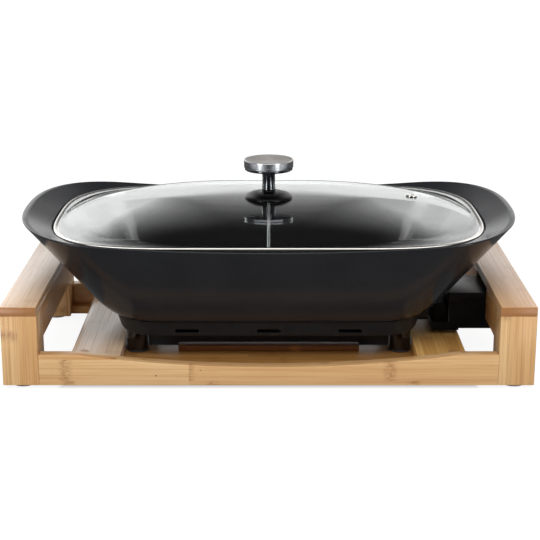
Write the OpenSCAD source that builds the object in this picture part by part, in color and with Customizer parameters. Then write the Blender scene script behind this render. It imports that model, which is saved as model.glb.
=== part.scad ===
// Electric table multicooker: a cast boat-shaped pan with a divider and a lift-off glass lid,
// standing on a bamboo frame, with a plug-in thermostat at its right end.
// Millimetres. The origin is on the table under the middle, +X right, +Y back, +Z up.

/* [Stand] */
// Overall width of the stand
stand_w = 500; // [490:1:540]
// Overall depth of the stand
stand_d = 252; // [246:1:280]
// Width of a post
post_w = 34; // [28:1:38]
// Depth of a post, front to back
post_d = 37; // [30:1:40]
// Height of a post
post_h = 68; // [66:1:74]
// Thickness of the top rails
top_rail_t = 9; // [6:0.5:14]
// Rounding of the long edges of posts and top rails
edge_round = 1.5; // [0.5:0.25:3]
// Thickness of the front and back rails
rail_t = 12.5; // [10:0.5:15]
// Height of the front and back rails beside the posts
rail_h = 30; // [27:1:36]
// Dip of the arched top edge of these rails
rail_dip = 12; // [4:1:16]
// Level stretch of that edge beside each post
rail_flat = 36; // [15:1:60]
// Thickness of the side aprons
apron_t = 18; // [10:1:24]
// Height of the side aprons
apron_h = 31; // [20:1:34]
// Width of the cleats along the rails
cleat_w = 14; // [8:1:18]
// Thickness of cleats and planks
cleat_t = 8; // [6:0.5:10]
// Reach of the planks past the middle of the cooker's feet
plank_in = 13.5; // [11.5:0.5:20]
// Width of the cross boards
board_w = 48; // [40:1:52]
// Thickness of the cross boards
board_t = 12; // [9:0.5:14]
// Gap between a cross board and the cooker's feet
board_gap = 1.2; // [0.5:0.1:4]
// Length of the battens under the cooker
batten_l = 179; // [120:1:200]
// Width of a batten
batten_w = 12; // [8:1:16]
// Height of a batten
batten_h = 6; // [4:0.5:10]
// Width of a batten on the outer side of the cooker's feet's middle line
batten_out = 7; // [4:0.5:9]
// Height of the rubber feet under the stand
stand_foot_h = 4; // [2:0.5:8]
// Radius of the rubber feet under the stand
stand_foot_r = 11; // [7:0.5:13]
// Radius of the dowels in the corner joints
dowel_r = 3; // [2:0.25:4]
// Length of these dowels
dowel_l = 24; // [16:1:30]
// Height of the lower dowel above the rail's underside
dowel_rise = 8; // [6:0.5:10]
// Height between the two dowels of a joint
dowel_pitch = 13; // [10:0.5:14]
// Distance from the cross board's outer edge to its screws
board_screw_in = 12; // [9:0.5:20]
// Distance from the middle of the stand to the cross boards' screws
board_screw_y = 85; // [72:1:92]
// Radius of these screws
board_screw_r = 1.8; // [1.5:0.1:2.2]
// Radius of their heads
board_head_r = 3.6; // [3:0.1:4]
// Height of their heads
board_head_h = 1.8; // [1.5:0.1:2.2]
// Reach of these screws into the planks
screw_bite = 5; // [3:0.5:5.5]
// Radius of the wooden plugs over the screws
plug_wood_r = 4.5; // [4.2:0.1:6]
// Depth of these plugs
plug_depth = 3; // [2:0.25:4]

/* [Pan] */
// Straight length of the rim, from the middle to the start of its round end
rim_straight = 149.5; // [140:0.5:155]
// Length of the rim's round end
rim_end = 91.7; // [85:0.1:95]
// Half depth of the rim
rim_half_d = 140.5; // [140:0.5:146]
// Squareness exponent of the rim's round ends
rim_power = 2.44; // [2.3:0.02:2.6]
// Height of the rim above the table at the middle
rim_h = 136.8; // [132:0.2:142]
// Rise of the rim from the middle to the ends
rim_rise = 13.2; // [8:0.2:18]
// Edge radius of the rim
rim_round = 1.2; // [0.6:0.1:1.4]
// Width of the rim's top at the front and back
rim_top = 2.1; // [1.8:0.1:2.3]
// Width of the rim's top at the ends
rim_top_end = 5.5; // [3:0.25:8]
// Height of the pan's underside above the table
pan_z = 51; // [50:0.5:53]
// Straight length of the pan's lower edge, from the middle to its round end
pan_foot_straight = 105; // [102:0.5:108]
// Length of the lower edge's round end
pan_foot_end = 55; // [53:0.5:57]
// Half depth of the pan's lower edge
pan_foot_half_d = 88; // [86:0.5:90]
// Squareness exponent of the lower edge's round ends
pan_foot_power = 2.6; // [2.4:0.05:2.8]
// Share of the outer wall that the rounded lower edge takes up
pan_fillet = 0.22; // [0.18:0.01:0.26]
// Thickness of the pan's floor
pan_floor_t = 4.5; // [3:0.5:7]
// Thickness of the pan's wall at its foot
pan_wall = 5; // [4:0.5:7]
// Share of the inner wall that the rounded inner edge takes up
pan_inner_fillet = 0.18; // [0.12:0.01:0.24]
// Depth of the lid's seat below the middle of the rim
seat_drop = 0.8; // [0.6:0.05:1.2]
// Width of the lid's seat
seat_w = 6; // [4:0.5:8]
// Depth of the recess round the lid at the ends of the pan
lip_step = 4; // [2:0.5:6]
// Width of the slope of that recess
lip_step_w = 0.8; // [0.5:0.1:1]
// Thickness of a divider guide rib
guide_t = 2.4; // [1.5:0.1:4]
// Reach of a guide rib into the pan
guide_w = 3.5; // [2:0.25:5]
// Sink of a guide rib into the pan's wall
guide_sink = 1.5; // [1:0.1:2]

/* [Heater base] */
// Height of the base's underside above the table
base_z = 37.5; // [36:0.5:38]
// Draft of the base's wall from its top edge to its bottom edge
base_draft = 4.5; // [3:0.5:7]
// Radius of the base's lower edge
base_edge_r = 5; // [3:0.5:6]
// Wall of the base
base_wall = 2.5; // [2:0.25:3]
// Floor of the base
base_floor_t = 2; // [1.5:0.25:2]
// Seam between the base and the pan
base_seam = 0.4; // [0.3:0.05:0.6]
// Length of a vent slot
vent_slot_l = 23.3; // [12:0.1:30]
// Height of a vent slot
vent_slot_h = 3.6; // [2:0.1:4.5]
// Spacing of the vent slots
vent_slot_pitch = 81; // [45:1:90]
// Height of the slots above the base's underside
vent_slot_rise = 7.2; // [6.5:0.1:8]
// Distance of the cooker's feet from the middle, left and right
foot_x = 130; // [126:0.5:132]
// Distance of the cooker's feet from the middle, front and back
foot_y = 44; // [42:0.5:46]
// Radius of a cooker foot
foot_r = 10.7; // [9:0.1:11.5]
// Thickness of the pad under a foot
pad_t = 2; // [1:0.25:3]
// Radius of the pad under a foot
pad_r = 11; // [9.5:0.1:11.5]
// Radius of the foot screws
foot_screw_r = 2; // [1.5:0.1:2.5]
// Radius of the foot screws' heads
foot_screw_head_r = 4; // [3.2:0.1:5]
// Height of the foot screws' heads
foot_screw_head_h = 2.4; // [1.8:0.1:3]
// Depth of the recess for these heads
foot_recess = 6; // [4:0.5:10]
// Radius of the bosses over the cooker's feet
boss_r = 5; // [4:0.25:6]
// Height of these bosses
boss_h = 5; // [4:0.25:5.5]
// Radius of the heating tube
tube_r = 4; // [3:0.1:4.2]
// Distance of the heating tube's long runs from the middle
tube_run_y = 56; // [54.5:0.5:57]
// Bend radius of the heating tube beside the terminals
tube_bend = 18; // [14:0.5:20]
// Start of the heating tube's bend towards the terminals
tube_run_x = 75; // [65:1:80]
// Centre of the heating tube's round left end, from the middle
tube_end_x = 60; // [50:1:64]
// Gap between the heating tube and the pan
tube_gap = 0.5; // [0.3:0.1:0.8]
// Distance of the contact pins from the probe
pin_y = 14; // [13:0.5:15]
// Radius of the contact pins
pin_r = 2.1; // [1.8:0.1:2.3]
// Depth of the pins' axis below the pan
pin_drop = 6.5; // [6.4:0.05:6.7]
// Distance of the pins' tips from the mouth of the socket guard
pin_set_back = 4; // [3:0.25:6]
// Reach of the pins behind the socket guard
pin_tail = 8; // [6:0.25:9]
// Thickness of the heat reflector
reflector_t = 0.8; // [0.5:0.1:0.8]
// Gap between the heat reflector and the bosses
reflector_gap = 15; // [8:0.5:20]
// Corner rounding of the heat reflector
reflector_round = 12; // [6:0.5:20]

/* [Lid] */
// Straight length of the lid's edge, from the middle to its round end
lid_straight = 70; // [66:0.5:74]
// Length of the lid's round end
lid_end = 140.5; // [136:0.5:142]
// Half depth of the lid
lid_half_d = 136; // [134:0.25:136]
// Squareness exponent of the lid's round ends
lid_power = 3.2; // [3:0.05:3.4]
// Side clearance between lid and pan
lid_play = 0.6; // [0.4:0.05:0.8]
// Height of the steel band
band_h = 4.2; // [3.6:0.1:5]
// Sheet thickness of the steel band
band_t = 0.6; // [0.4:0.05:0.8]
// Width of the band's legs over the glass
band_leg = 4.5; // [3:0.25:5]
// Reach of the flat glass edge past the band's legs
glass_lap = 0.8; // [0.4:0.1:1.5]
// Side gap between the glass and the band
glass_gap = 0.2; // [0.1:0.05:0.3]
// Straight length of the dome's foot, from the middle to its round end
dome_straight = 40; // [30:1:60]
// Side gap between the dome's foot and the band
dome_in = 0.7; // [0.5:0.1:2]
// Squareness exponent of the dome's foot
dome_squareness = 2.05; // [2:0.05:2.3]
// Height of the dome above the band's glass edge
dome_h = 17; // [14:0.5:20]
// Shape exponent of the dome, higher is flatter on top
dome_power = 6; // [4.5:0.1:6.5]
// Thickness of the glass at the crown
glass_t = 3.5; // [3:0.1:4]
// Distance of the steam vent from the middle, to the right
vent_x = 144; // [130:1:150]
// Distance of the steam vent from the middle, to the back
vent_y = 15; // [0:1:24]
// Radius of the steam vent's sleeve
vent_r = 4; // [3:0.25:5]
// Radius of the steam vent's hole
vent_hole_r = 2.2; // [1.2:0.1:2.6]
// Width of the steam vent's flange
vent_flange_w = 2; // [1.5:0.25:3]
// Thickness of the steam vent's flange
vent_flange_t = 1.2; // [0.8:0.1:1.6]
// Reach of the vent's sleeve below the glass
vent_tail = 1; // [0.5:0.1:2]
// Lift of the vent's flange above the glass
vent_lift = 0.1; // [0.05:0.05:0.3]

/* [Knob] */
// Radius of the knob's steel cap
cap_r = 24.5; // [22:0.5:27]
// Height of the cap's polished side
cap_h = 8.2; // [6:0.2:11]
// Edge radius of the cap
cap_edge = 1; // [0.5:0.1:2]
// Depth of the cap's dished top
dish_depth = 0.4; // [0.2:0.05:0.8]
// Set-back of the cap's bowl from its side
bowl_in = 0.8; // [0.4:0.1:2]
// Height of that bowl
bowl_h = 2.6; // [2:0.1:4]
// Rise of the cap above the lid
neck_h = 31; // [26:0.2:38]
// Radius of the neck
neck_r = 6.5; // [5.5:0.25:8]
// Radius of the neck's flare under the bowl
neck_flare = 2.2; // [1:0.1:3]
// Radius of the flange on the lid
flange_r = 23.7; // [20:0.1:26]
// Thickness of the flange's edge
flange_t = 1; // [0.8:0.1:2]
// Rise of the flange from its edge to its flare
flange_rise = 1.2; // [0.5:0.1:2]
// Height of the flange at its neck
flange_h = 9; // [7:0.25:11]
// Height of the polished collar on the flange
collar_ring_h = 4; // [2:0.25:6]
// Step of the collar beyond the neck
collar_ring_w = 0.3; // [0.1:0.05:1]
// Radius of the knob's screw
knob_screw_r = 2.5; // [2:0.1:3]
// Radius of that screw's head
knob_head_r = 4.5; // [4:0.1:6]
// Height of that screw's head
knob_head_h = 2.4; // [1.8:0.1:3]
// Clearance of that screw in the glass
knob_play = 0.5; // [0.3:0.05:1]
// Solid height left above that screw's bore
knob_roof = 9; // [6:0.25:11]
// Radius of the washer under the glass
washer_r = 8; // [6:0.5:10]
// Thickness of that washer
washer_t = 1; // [0.8:0.1:1.5]

/* [Divider] */
// Thickness of the divider plate
divider_t = 1.8; // [1.2:0.1:2.4]
// Clearance of the divider to the pan
divider_play = 0.8; // [0.5:0.1:1.2]
// Drop of the divider's top edge below the lid's seat
divider_drop = 5; // [3:0.5:12]
// Radius of the bead along the divider's top edge
bead_r = 1.6; // [1.3:0.1:2]

/* [Thermostat] */
// Left end of the housing, from the middle
housing_x = 178; // [177:0.5:181]
// Length of the housing
housing_l = 62; // [59:0.5:63]
// Half width of the housing
housing_half_w = 32; // [30:0.5:34]
// Height of the housing's underside above the table
housing_z = 30; // [29:0.5:31]
// Height of the housing with its cover
housing_h = 37; // [35:0.5:38]
// Height of the cover
cover_h = 9; // [7:0.5:10]
// Wall of the housing
housing_wall = 2.5; // [2:0.25:3]
// Rounding of the housing's upright edges
housing_round = 3; // [1:0.25:4]
// Clearance of the housing in the gap between the right aprons
housing_play = 1.3; // [0.6:0.1:3]
// Distance of the cover screws from the housing's sides
cover_screw_in = 6.5; // [6:0.25:8]
// Radius of the cover screws
cover_screw_r = 1.3; // [1:0.1:1.6]
// Radius of their heads
cover_head_r = 2.5; // [2:0.1:3]
// Height of their heads
cover_head_h = 1.6; // [1.2:0.1:2]
// Height of their heads above the housing's underside
cover_head_rise = 1; // [0.5:0.1:2]
// Sink of the screw bosses into the housing's walls
boss_sink = 0.8; // [0.5:0.1:1.2]
// Thickness of the block that joins the housing and the plug
collar_l = 12; // [10:0.5:12.5]
// Half width of that block
collar_half_w = 26; // [25:0.5:28]
// Height of that block above the lip
collar_h = 18; // [15:0.5:19]
// Reach of the lip under the plug, left of the housing
lip_l = 15; // [12.5:0.5:15.5]
// Reach of that lip under the housing
lip_under = 12; // [4:0.5:16]
// Drop of that lip below the housing
lip_drop = 2; // [1:0.25:3]
// Height of the lip under the plug
lip_h = 8.6; // [6:0.2:9]
// Length of the plug
plug_l = 20; // [18:0.5:21]
// Half width of the plug
plug_half_w = 23.5; // [22:0.25:24]
// Height of the plug
plug_h = 8; // [7.4:0.1:8.2]
// Clearance of the plug in the socket guard
plug_play = 0.8; // [0.4:0.1:0.8]
// Rounding of the plug
plug_round = 2; // [1:0.25:3]
// Wall of a contact socket
socket_wall = 1.2; // [0.8:0.1:1.3]
// Depth of the contact sockets behind the plug's face
socket_in = 1; // [0.5:0.1:1.5]
// Wall of the socket guard
guard_wall = 3; // [2:0.25:3.5]
// Thickness of the socket guard's roof
guard_roof = 1.2; // [0.8:0.1:1.3]
// Length of the socket guard
guard_l = 22; // [20:0.5:23]
// Left end of the socket guard, from the middle
guard_x = 138; // [137:0.25:139]
// Rounding of the socket guard
guard_round = 4; // [2:0.25:5]
// Radius of the temperature probe
probe_r = 3.2; // [2.6:0.1:3.4]
// Depth of the probe in its well
probe_in = 68; // [50:1:70]
// Wall of the probe's well
well_wall = 3.2; // [2.6:0.1:3.4]
// Floor of the probe's well
well_floor = 0.8; // [0.5:0.1:1]
// End wall of the probe's well
well_end = 3; // [2:0.25:5]
// Gap between the probe's tip and the end of its well
tip_gap = 1; // [0.5:0.1:3]
// Radius of the dial
dial_r = 16; // [13:0.5:19]
// Thickness of the dial
dial_t = 8.5; // [6:0.25:9.5]
// Height of the dial's axis above the housing's underside
dial_rise = 16; // [15:0.5:17]
// Radius of the dial's shaft
shaft_r = 3; // [2.5:0.1:3.5]
// Length of the dial's shaft inside the housing
shaft_l = 26; // [14:1:30]
// Gap between the dial and the housing
dial_gap = 0.8; // [0.4:0.1:1.2]
// Step from the dial's rim to its face
dial_step = 2; // [1:0.25:3]
// Width of the dial's grip
grip_w = 5; // [3:0.25:7]
// Radius of the flutes round the dial
flute_r = 1.4; // [1:0.1:1.8]
// Distance of the flutes' centres outside the dial
flute_out = 0.6; // [0.3:0.05:0.9]
// Number of flutes round the dial
flute_n = 24; // [16:1:30]
// Half width of the switch block
switch_half_w = 14; // [10:0.5:18]
// Distance of the switch block from the housing's left end
switch_in = 12; // [11.5:0.5:14]
// Distance of the switch block from the housing's right end
switch_end = 22; // [14:0.5:26]
// Radius of the indicator lens
lens_r = 2.6; // [2:0.1:3.2]
// Distance of the indicator lens from the housing's side
lens_in = 7; // [6.5:0.25:12]
// Distance of the indicator lens below the cover
lens_drop = 5; // [4:0.25:8]
// Stand-off of the lens beyond the housing
lens_proud = 0.6; // [0.2:0.1:1]
// Radius of the cord gland
gland_r = 5; // [4:0.25:6]
// Step from the gland's collar to its sleeve
gland_step = 1.5; // [1:0.1:2]
// Wall of the gland's sleeve
gland_wall = 1; // [0.8:0.1:1.2]
// Length of the gland's collar
gland_l = 3; // [2:0.25:6]
// Distance of the gland from the housing's side
gland_in = 9; // [8:0.25:10]
// Height of the gland above the housing's underside
gland_rise = 15; // [12:0.5:18]

/* [Fits] */
// Radial clearance of a turning or sliding round part
run_fit = 0.05; // [0.02:0.01:0.1]
// Radial clearance of a screw or dowel in its hole
hole_fit = 0.05; // [0.03:0.01:0.2]
// Gap between the lid and its seat
rest_gap = 0.3; // [0.2:0.05:0.4]

/* [Hidden] */
$fn = 64;

// Overrun of a cut past the face that it opens
cut = 1;
// Room left at the tip of a screw
screw_end = 1;
// Solid height left above a screw hole in a boss
boss_roof = 1;
// Share of a rounded lower edge at which its middle ring lies
edge_share = 0.3;

bamboo = "burlywood";
bamboo_dark = "peru";
coated_black = "#232325";
moulded_black = "#161616";
rubber_grey = "silver";
steel = "lightgray";

// Stand, worked out
half_w = stand_w / 2;
half_d = stand_d / 2;
inner_x = half_w - post_w;
inner_y = half_d - post_d;
rail_in_y = half_d - rail_t;
stand_z = stand_foot_h;
post_top = stand_z + post_h;
apron_z = post_top - apron_h;
plank_top = stand_z + cleat_t;
plank_front = rail_in_y - cleat_w;
board_in_x = foot_x + pad_r + board_gap;
board_out_x = board_in_x + board_w;
board_screw_x = board_out_x - board_screw_in;
batten_y = foot_y + batten_out - batten_w / 2;
plank_w = plank_front - foot_y + plank_in;

// Outlines: [straight half length, end length, half depth, squareness exponent]
rim_shape = [rim_straight, rim_end, rim_half_d, rim_power];
foot_shape = [pan_foot_straight, pan_foot_end, pan_foot_half_d, pan_foot_power];
lid_shape = [lid_straight, lid_end, lid_half_d, lid_power];
rim_half_w = rim_straight + rim_end;
lid_half_w = lid_straight + lid_end;

function inset(s, d) = [s[0], s[1] - d, s[2] - d, s[3]];
function inset_xy(s, dx, dy) = [s[0], s[1] - dx, s[2] - dy, s[3]];
function level(s, x, y) = pow(max(0, abs(x) - s[0]) / s[1], s[3]) + pow(abs(y) / s[2], s[3]);
function reach(s, a, lo, hi, k) =
  let (m = (lo + hi) / 2)
  k == 0 ? m : level(s, m * cos(a), m * sin(a)) < 1 ? reach(s, a, m, hi, k - 1) : reach(s, a, lo, m, k - 1);

ring_n = 96;
bisections = 34;
angles = [for (i = [0 : ring_n - 1])
  let (t = 360 * i / ring_n) atan2(rim_half_d * sin(t), rim_half_w * cos(t))];
function outline(s) = [for (a = angles)
  let (r = reach(s, a, 0, s[0] + s[1] + s[2], bisections)) [r * cos(a), r * sin(a)]];
function blend(p, q, g) = [for (i = [0 : ring_n - 1]) p[i] + g * (q[i] - p[i])];
function at_z(p, z) = [for (v = p) [v[0], v[1], z]];
function with_z(p, z) = [for (i = [0 : ring_n - 1]) [p[i][0], p[i][1], z[i]]];
function dropped(ring, d) = [for (v = ring) [v[0], v[1], v[2] - d]];

// A rounded lower edge: position across the wall and up the wall, for a share q of the wall
function fillet_in(q, t) = q * (t * t - (1 - t) * (1 - t));
function fillet_up(q, t) = q * t * t;

// Pan, worked out
floor_z = pan_z + pan_floor_t;
seat_z = rim_h - seat_drop;
seat_shape = inset(lid_shape, -lid_play);
seat_in_shape = inset(lid_shape, seat_w);
lip_shape = inset(seat_shape, -lip_step_w);
well_shape = inset(foot_shape, pan_wall);
function rim_z(x) = rim_h + rim_rise * pow(x / rim_half_w, 2);
function lip_z(x) = seat_z + seat_drop / 4 + lip_step * pow(x / lid_half_w, 2);
rim_pts = outline(rim_shape);
foot_pts = outline(foot_shape);
lip_pts = outline(lip_shape);
seat_pts = outline(seat_shape);
seat_in_pts = outline(seat_in_shape);
well_pts = outline(well_shape);
rim_edge_z = [for (p = rim_pts) rim_z(p[0])];
function outer_ring(g, h) = with_z(blend(foot_pts, rim_pts, g),
  [for (z = rim_edge_z) pan_z + h * (z - rim_round - pan_z)]);
function outer_fillet(t) = outer_ring(fillet_in(pan_fillet, t), fillet_up(pan_fillet, t));
function inner_fillet(t) = at_z(blend(well_pts, seat_in_pts, fillet_in(pan_inner_fillet, t)),
  floor_z + fillet_up(pan_inner_fillet, t) * (seat_z - floor_z));
function rim_ring(dx, dy, drop) =
  let (p = outline(inset_xy(rim_shape, dx, dy))) with_z(p, [for (v = p) rim_z(v[0]) - drop]);
fillet_steps = [0, 0.2, 0.4, 0.6, 0.8, 1];

// Section of the inner wall in the middle of the pan, as half depth at a height
wall_run = seat_in_shape[2] - well_shape[2];
wall_rise = seat_z - floor_z;
wall_lean = atan2(wall_run, wall_rise);
function wall_y(z) = well_shape[2] + wall_run * (z - floor_z) / wall_rise;
guide_x = divider_t / 2 + divider_play;
guide_z = floor_z + pan_inner_fillet * wall_rise;
guide_top = seat_z - divider_drop;
divider_top = seat_z - divider_drop - bead_r;
divider_foot = floor_z + divider_play;

// Base, worked out
skirt_edge_t = 0.2;
skirt_edge = outer_fillet(skirt_edge_t);
skirt_edge_in = outer_fillet(skirt_edge_t / 2);
skirt_set_back = -fillet_in(pan_fillet, skirt_edge_t);
skirt_end = pan_foot_end - skirt_set_back * (rim_half_w - pan_foot_straight - pan_foot_end) - base_draft;
skirt_half_d = pan_foot_half_d - skirt_set_back * (rim_half_d - pan_foot_half_d) - base_draft;
skirt_shape = [pan_foot_straight, skirt_end, skirt_half_d, pan_foot_power];
base_floor_z = base_z + base_floor_t;
boss_top = base_floor_z + boss_h;
plug_z = pan_z - pin_drop;
tube_z = pan_z - tube_r - tube_gap;
terminal_x = guard_x - pin_tail;
pin_tip_x = guard_x + guard_l - pin_set_back;
well_x = guard_x - probe_in;
well_z = plug_z - probe_r - run_fit - well_floor;

// Lid, worked out
lid_z = seat_z + rest_gap;
glass_edge_low = lid_z + band_t + hole_fit;
glass_edge_top = lid_z + band_h - band_t - hole_fit;
crown_z = glass_edge_top + dome_h;
under_z = crown_z - glass_t;
lid_pts = outline(lid_shape);
glass_pts = outline(inset(lid_shape, band_t + glass_gap));
leg_shape = inset(lid_shape, band_leg + glass_lap);
leg_pts = outline(leg_shape);
dome_end = leg_shape[0] + leg_shape[1] - dome_straight - dome_in;
dome_shape = [dome_straight, dome_end, leg_shape[2] - dome_in, dome_squareness];
dome_pts = outline(dome_shape);
function dome_z(s) = glass_edge_top + dome_h * (1 - pow(s, dome_power));
function under_dome_z(s) =
  glass_edge_low + (under_z - glass_edge_low) * (1 - pow(s, dome_power));
dome_steps = [1, 0.985, 0.96, 0.93, 0.89, 0.84, 0.76, 0.62, 0.4, 0.16];
vent_reach = reach(dome_shape, atan2(vent_y, vent_x), 0, 2 * lid_half_w, bisections);
vent_share = norm([vent_x, vent_y]) / vent_reach;
vent_z = dome_z(vent_share);
vent_slope = dome_h * dome_power * pow(vent_share, dome_power) / norm([vent_x, vent_y]);
vent_tilt = atan(vent_slope);

// Knob, worked out
cap_z = crown_z + neck_h;
flange_flare = flange_h - flange_t - flange_rise;
neck_z = flange_h + collar_ring_h;
knob_bore_z = crown_z + neck_h - knob_roof;
dish_half = cap_r - 2 * cap_edge;
dish_r = (dish_half * dish_half + dish_depth * dish_depth) / (2 * dish_depth);

// Thermostat, worked out
housing_end = housing_x + housing_l;
cover_z = housing_z + housing_h - cover_h;
dial_z = housing_z + dial_rise;
collar_x = housing_x - collar_l;
plug_x = collar_x - plug_l;
lip_z0 = housing_z - lip_drop;
collar_z = lip_z0 + lip_h;
gap_half = housing_half_w + housing_play;
guard_half_w = plug_half_w + plug_play + guard_wall;
guard_z = plug_z - plug_h / 2 - plug_play - guard_wall;
guard_h = plug_h + 2 * plug_play + guard_wall + guard_roof;
probe_tip = well_x + well_end + tip_gap;
cover_boss_r = cover_screw_in - housing_wall + boss_sink;
cover_head_z = housing_z + cover_head_rise;
cover_bite = cover_h - housing_wall - screw_end;
lens_y = housing_half_w - lens_in;
lens_z = cover_z - lens_drop;
gland_y = gland_in - housing_half_w;
gland_z = housing_z + gland_rise;
gland_sleeve_r = gland_r - gland_step;
gland_bore_r = gland_sleeve_r - gland_wall;

module loft(rings) {
  n = ring_n;
  last = len(rings) - 1;
  polyhedron(
    points = [for (r = rings, p = r) p],
    faces = concat(
      [[for (i = [0 : n - 1]) i]],
      [for (r = [0 : last - 1], i = [0 : n - 1], f = strip(r * n, (r + 1) * n, i, n)) f],
      [[for (i = [n - 1 : -1 : 0]) last * n + i]]
    )
  );
}

// A closed ring of constant section, its section's corners given as rings
module loft_hoop(rings) {
  n = ring_n;
  m = len(rings);
  polyhedron(
    points = [for (r = rings, p = r) p],
    faces = [for (r = [0 : m - 1], i = [0 : n - 1], f = strip(r * n, ((r + 1) % m) * n, i, n)) f]
  );
}

// Two triangles between ring a and ring b at step i
function strip(a, b, i, n) =
  let (j = (i + 1) % n) [[a + i, b + i, b + j], [a + i, b + j, a + j]];

module round_rect(w, h, r) {
  square([w - 2 * r, h], center = true);
  square([w, h - 2 * r], center = true);
  for (sx = [-1, 1], sy = [-1, 1]) translate([sx * (w / 2 - r), sy * (h / 2 - r)]) circle(r);
}

module stadium(l, h) {
  square([l - h, h], center = true);
  for (s = [-1, 1]) translate([s * (l - h) / 2, 0]) circle(h / 2);
}

module along_x(x, y, z) translate([x, y, z]) rotate([90, 0, 90]) children();

module corners(x, y) for (sx = [-1, 1], sy = [-1, 1]) translate([sx * x, sy * y, 0]) children();

// Stand
module dowel_places(sx, sy) {
  for (k = [0, 1])
    translate([sx * inner_x, sy * (half_d - rail_t / 2), stand_z + dowel_rise + k * dowel_pitch])
      rotate([0, 90, 0])
        children();
}

module dowel_hole() cylinder(r = dowel_r + hole_fit, h = dowel_l + 2 * hole_fit, center = true);

module rail(sy) {
  arch = inner_x - rail_flat;
  arch_r = (arch * arch + rail_dip * rail_dip) / (2 * rail_dip);
  difference() {
    translate([0, sy > 0 ? half_d : -rail_in_y, stand_z])
      rotate([90, 0, 0])
        linear_extrude(rail_t)
          difference() {
            translate([-inner_x, 0]) square([2 * inner_x, rail_h]);
            translate([0, rail_h - rail_dip + arch_r]) circle(arch_r, $fn = 360);
          }
    for (sx = [-1, 1]) dowel_places(sx, sy) dowel_hole();
  }
}

module post(sx, sy) {
  difference() {
    translate([sx * (half_w - post_w / 2), sy * (half_d - post_d / 2), stand_z])
      linear_extrude(post_h)
        round_rect(post_w, post_d, edge_round);
    dowel_places(sx, sy) dowel_hole();
  }
}

module top_rail(sx) {
  translate([sx * (half_w - post_w / 2), half_d, post_top + top_rail_t / 2])
    rotate([90, 0, 0])
      linear_extrude(stand_d)
        round_rect(post_w, top_rail_t, edge_round);
}

module apron(sx, y0, y1)
  translate([sx > 0 ? inner_x : -inner_x - apron_t, y0, apron_z]) cube([apron_t, y1 - y0, apron_h]);

module cleat(sy)
  translate([-inner_x, sy > 0 ? plank_front : -rail_in_y, stand_z]) cube([2 * inner_x, cleat_w, cleat_t]);

module board_screw_places(sx)
  for (sy = [-1, 1]) translate([sx * board_screw_x, sy * board_screw_y, 0]) children();

module board_screw_hole()
  translate([0, 0, plank_top - screw_bite - hole_fit])
    cylinder(r = board_screw_r + hole_fit, h = screw_bite + board_t);

module plank(sy) {
  difference() {
    translate([-board_out_x, sy > 0 ? plank_front - plank_w : -plank_front, stand_z])
      cube([2 * board_out_x, plank_w, cleat_t]);
    for (sx = [-1, 1]) board_screw_places(sx) board_screw_hole();
  }
}

module cross_board(sx) {
  difference() {
    translate([sx > 0 ? board_in_x : -board_out_x, -rail_in_y, plank_top])
      cube([board_w, 2 * rail_in_y, board_t]);
    board_screw_places(sx) {
      board_screw_hole();
      translate([0, 0, plank_top + board_t - plug_depth - board_head_h])
        cylinder(r = board_head_r + hole_fit, h = board_head_h + plug_depth);
      translate([0, 0, plank_top + board_t - plug_depth])
        cylinder(r = plug_wood_r + hole_fit, h = plug_depth + cut);
    }
  }
}

module batten(sy)
  translate([-batten_l / 2, sy * batten_y - batten_w / 2, plank_top]) cube([batten_l, batten_w, batten_h]);

module front_rail() color(bamboo) rail(-1);
module back_rail() color(bamboo) rail(1);
module front_left_post() color(bamboo) post(-1, -1);
module front_right_post() color(bamboo) post(1, -1);
module back_left_post() color(bamboo) post(-1, 1);
module back_right_post() color(bamboo) post(1, 1);
module left_top_rail() color(bamboo) top_rail(-1);
module right_top_rail() color(bamboo) top_rail(1);
module left_apron() color(bamboo) apron(-1, -inner_y, inner_y);
module right_front_apron() color(bamboo) apron(1, -inner_y, -gap_half);
module right_back_apron() color(bamboo) apron(1, gap_half, inner_y);
module front_cleat() color(bamboo_dark) cleat(-1);
module back_cleat() color(bamboo_dark) cleat(1);
module front_plank() color(bamboo_dark) plank(-1);
module back_plank() color(bamboo_dark) plank(1);
module left_cross_board() color(bamboo) cross_board(-1);
module right_cross_board() color(bamboo) cross_board(1);
module front_batten() color(bamboo_dark) batten(-1);
module back_batten() color(bamboo_dark) batten(1);

module board_screws() color(steel)
  for (sx = [-1, 1])
    board_screw_places(sx) {
      translate([0, 0, plank_top - screw_bite])
        cylinder(r = board_screw_r, h = screw_bite + board_t - plug_depth - board_head_h);
      translate([0, 0, plank_top + board_t - plug_depth - board_head_h])
        cylinder(r = board_head_r, h = board_head_h);
    }

module board_plugs() color(bamboo_dark)
  for (sx = [-1, 1])
    board_screw_places(sx)
      translate([0, 0, plank_top + board_t - plug_depth]) cylinder(r = plug_wood_r, h = plug_depth);

module joint_dowels() color(bamboo_dark)
  for (sx = [-1, 1], sy = [-1, 1])
    dowel_places(sx, sy)
      cylinder(r = dowel_r, h = dowel_l, center = true);

module stand_feet() color(rubber_grey)
  corners(half_w - post_w / 2, half_d - post_d / 2) cylinder(r = stand_foot_r, h = stand_foot_h);

// Pan
module guide_rib(sx, sy) {
  low = wall_y(guide_z);
  high = wall_y(guide_top);
  x0 = sx > 0 ? guide_x : -guide_x - guide_t;
  along_x(x0, 0, 0)
    linear_extrude(guide_t)
      polygon([
        [sy * (low + guide_sink), guide_z], [sy * (high + guide_sink), guide_top],
        [sy * (high - guide_w), guide_top], [sy * (low - guide_w), guide_z]
      ]);
}

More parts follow.
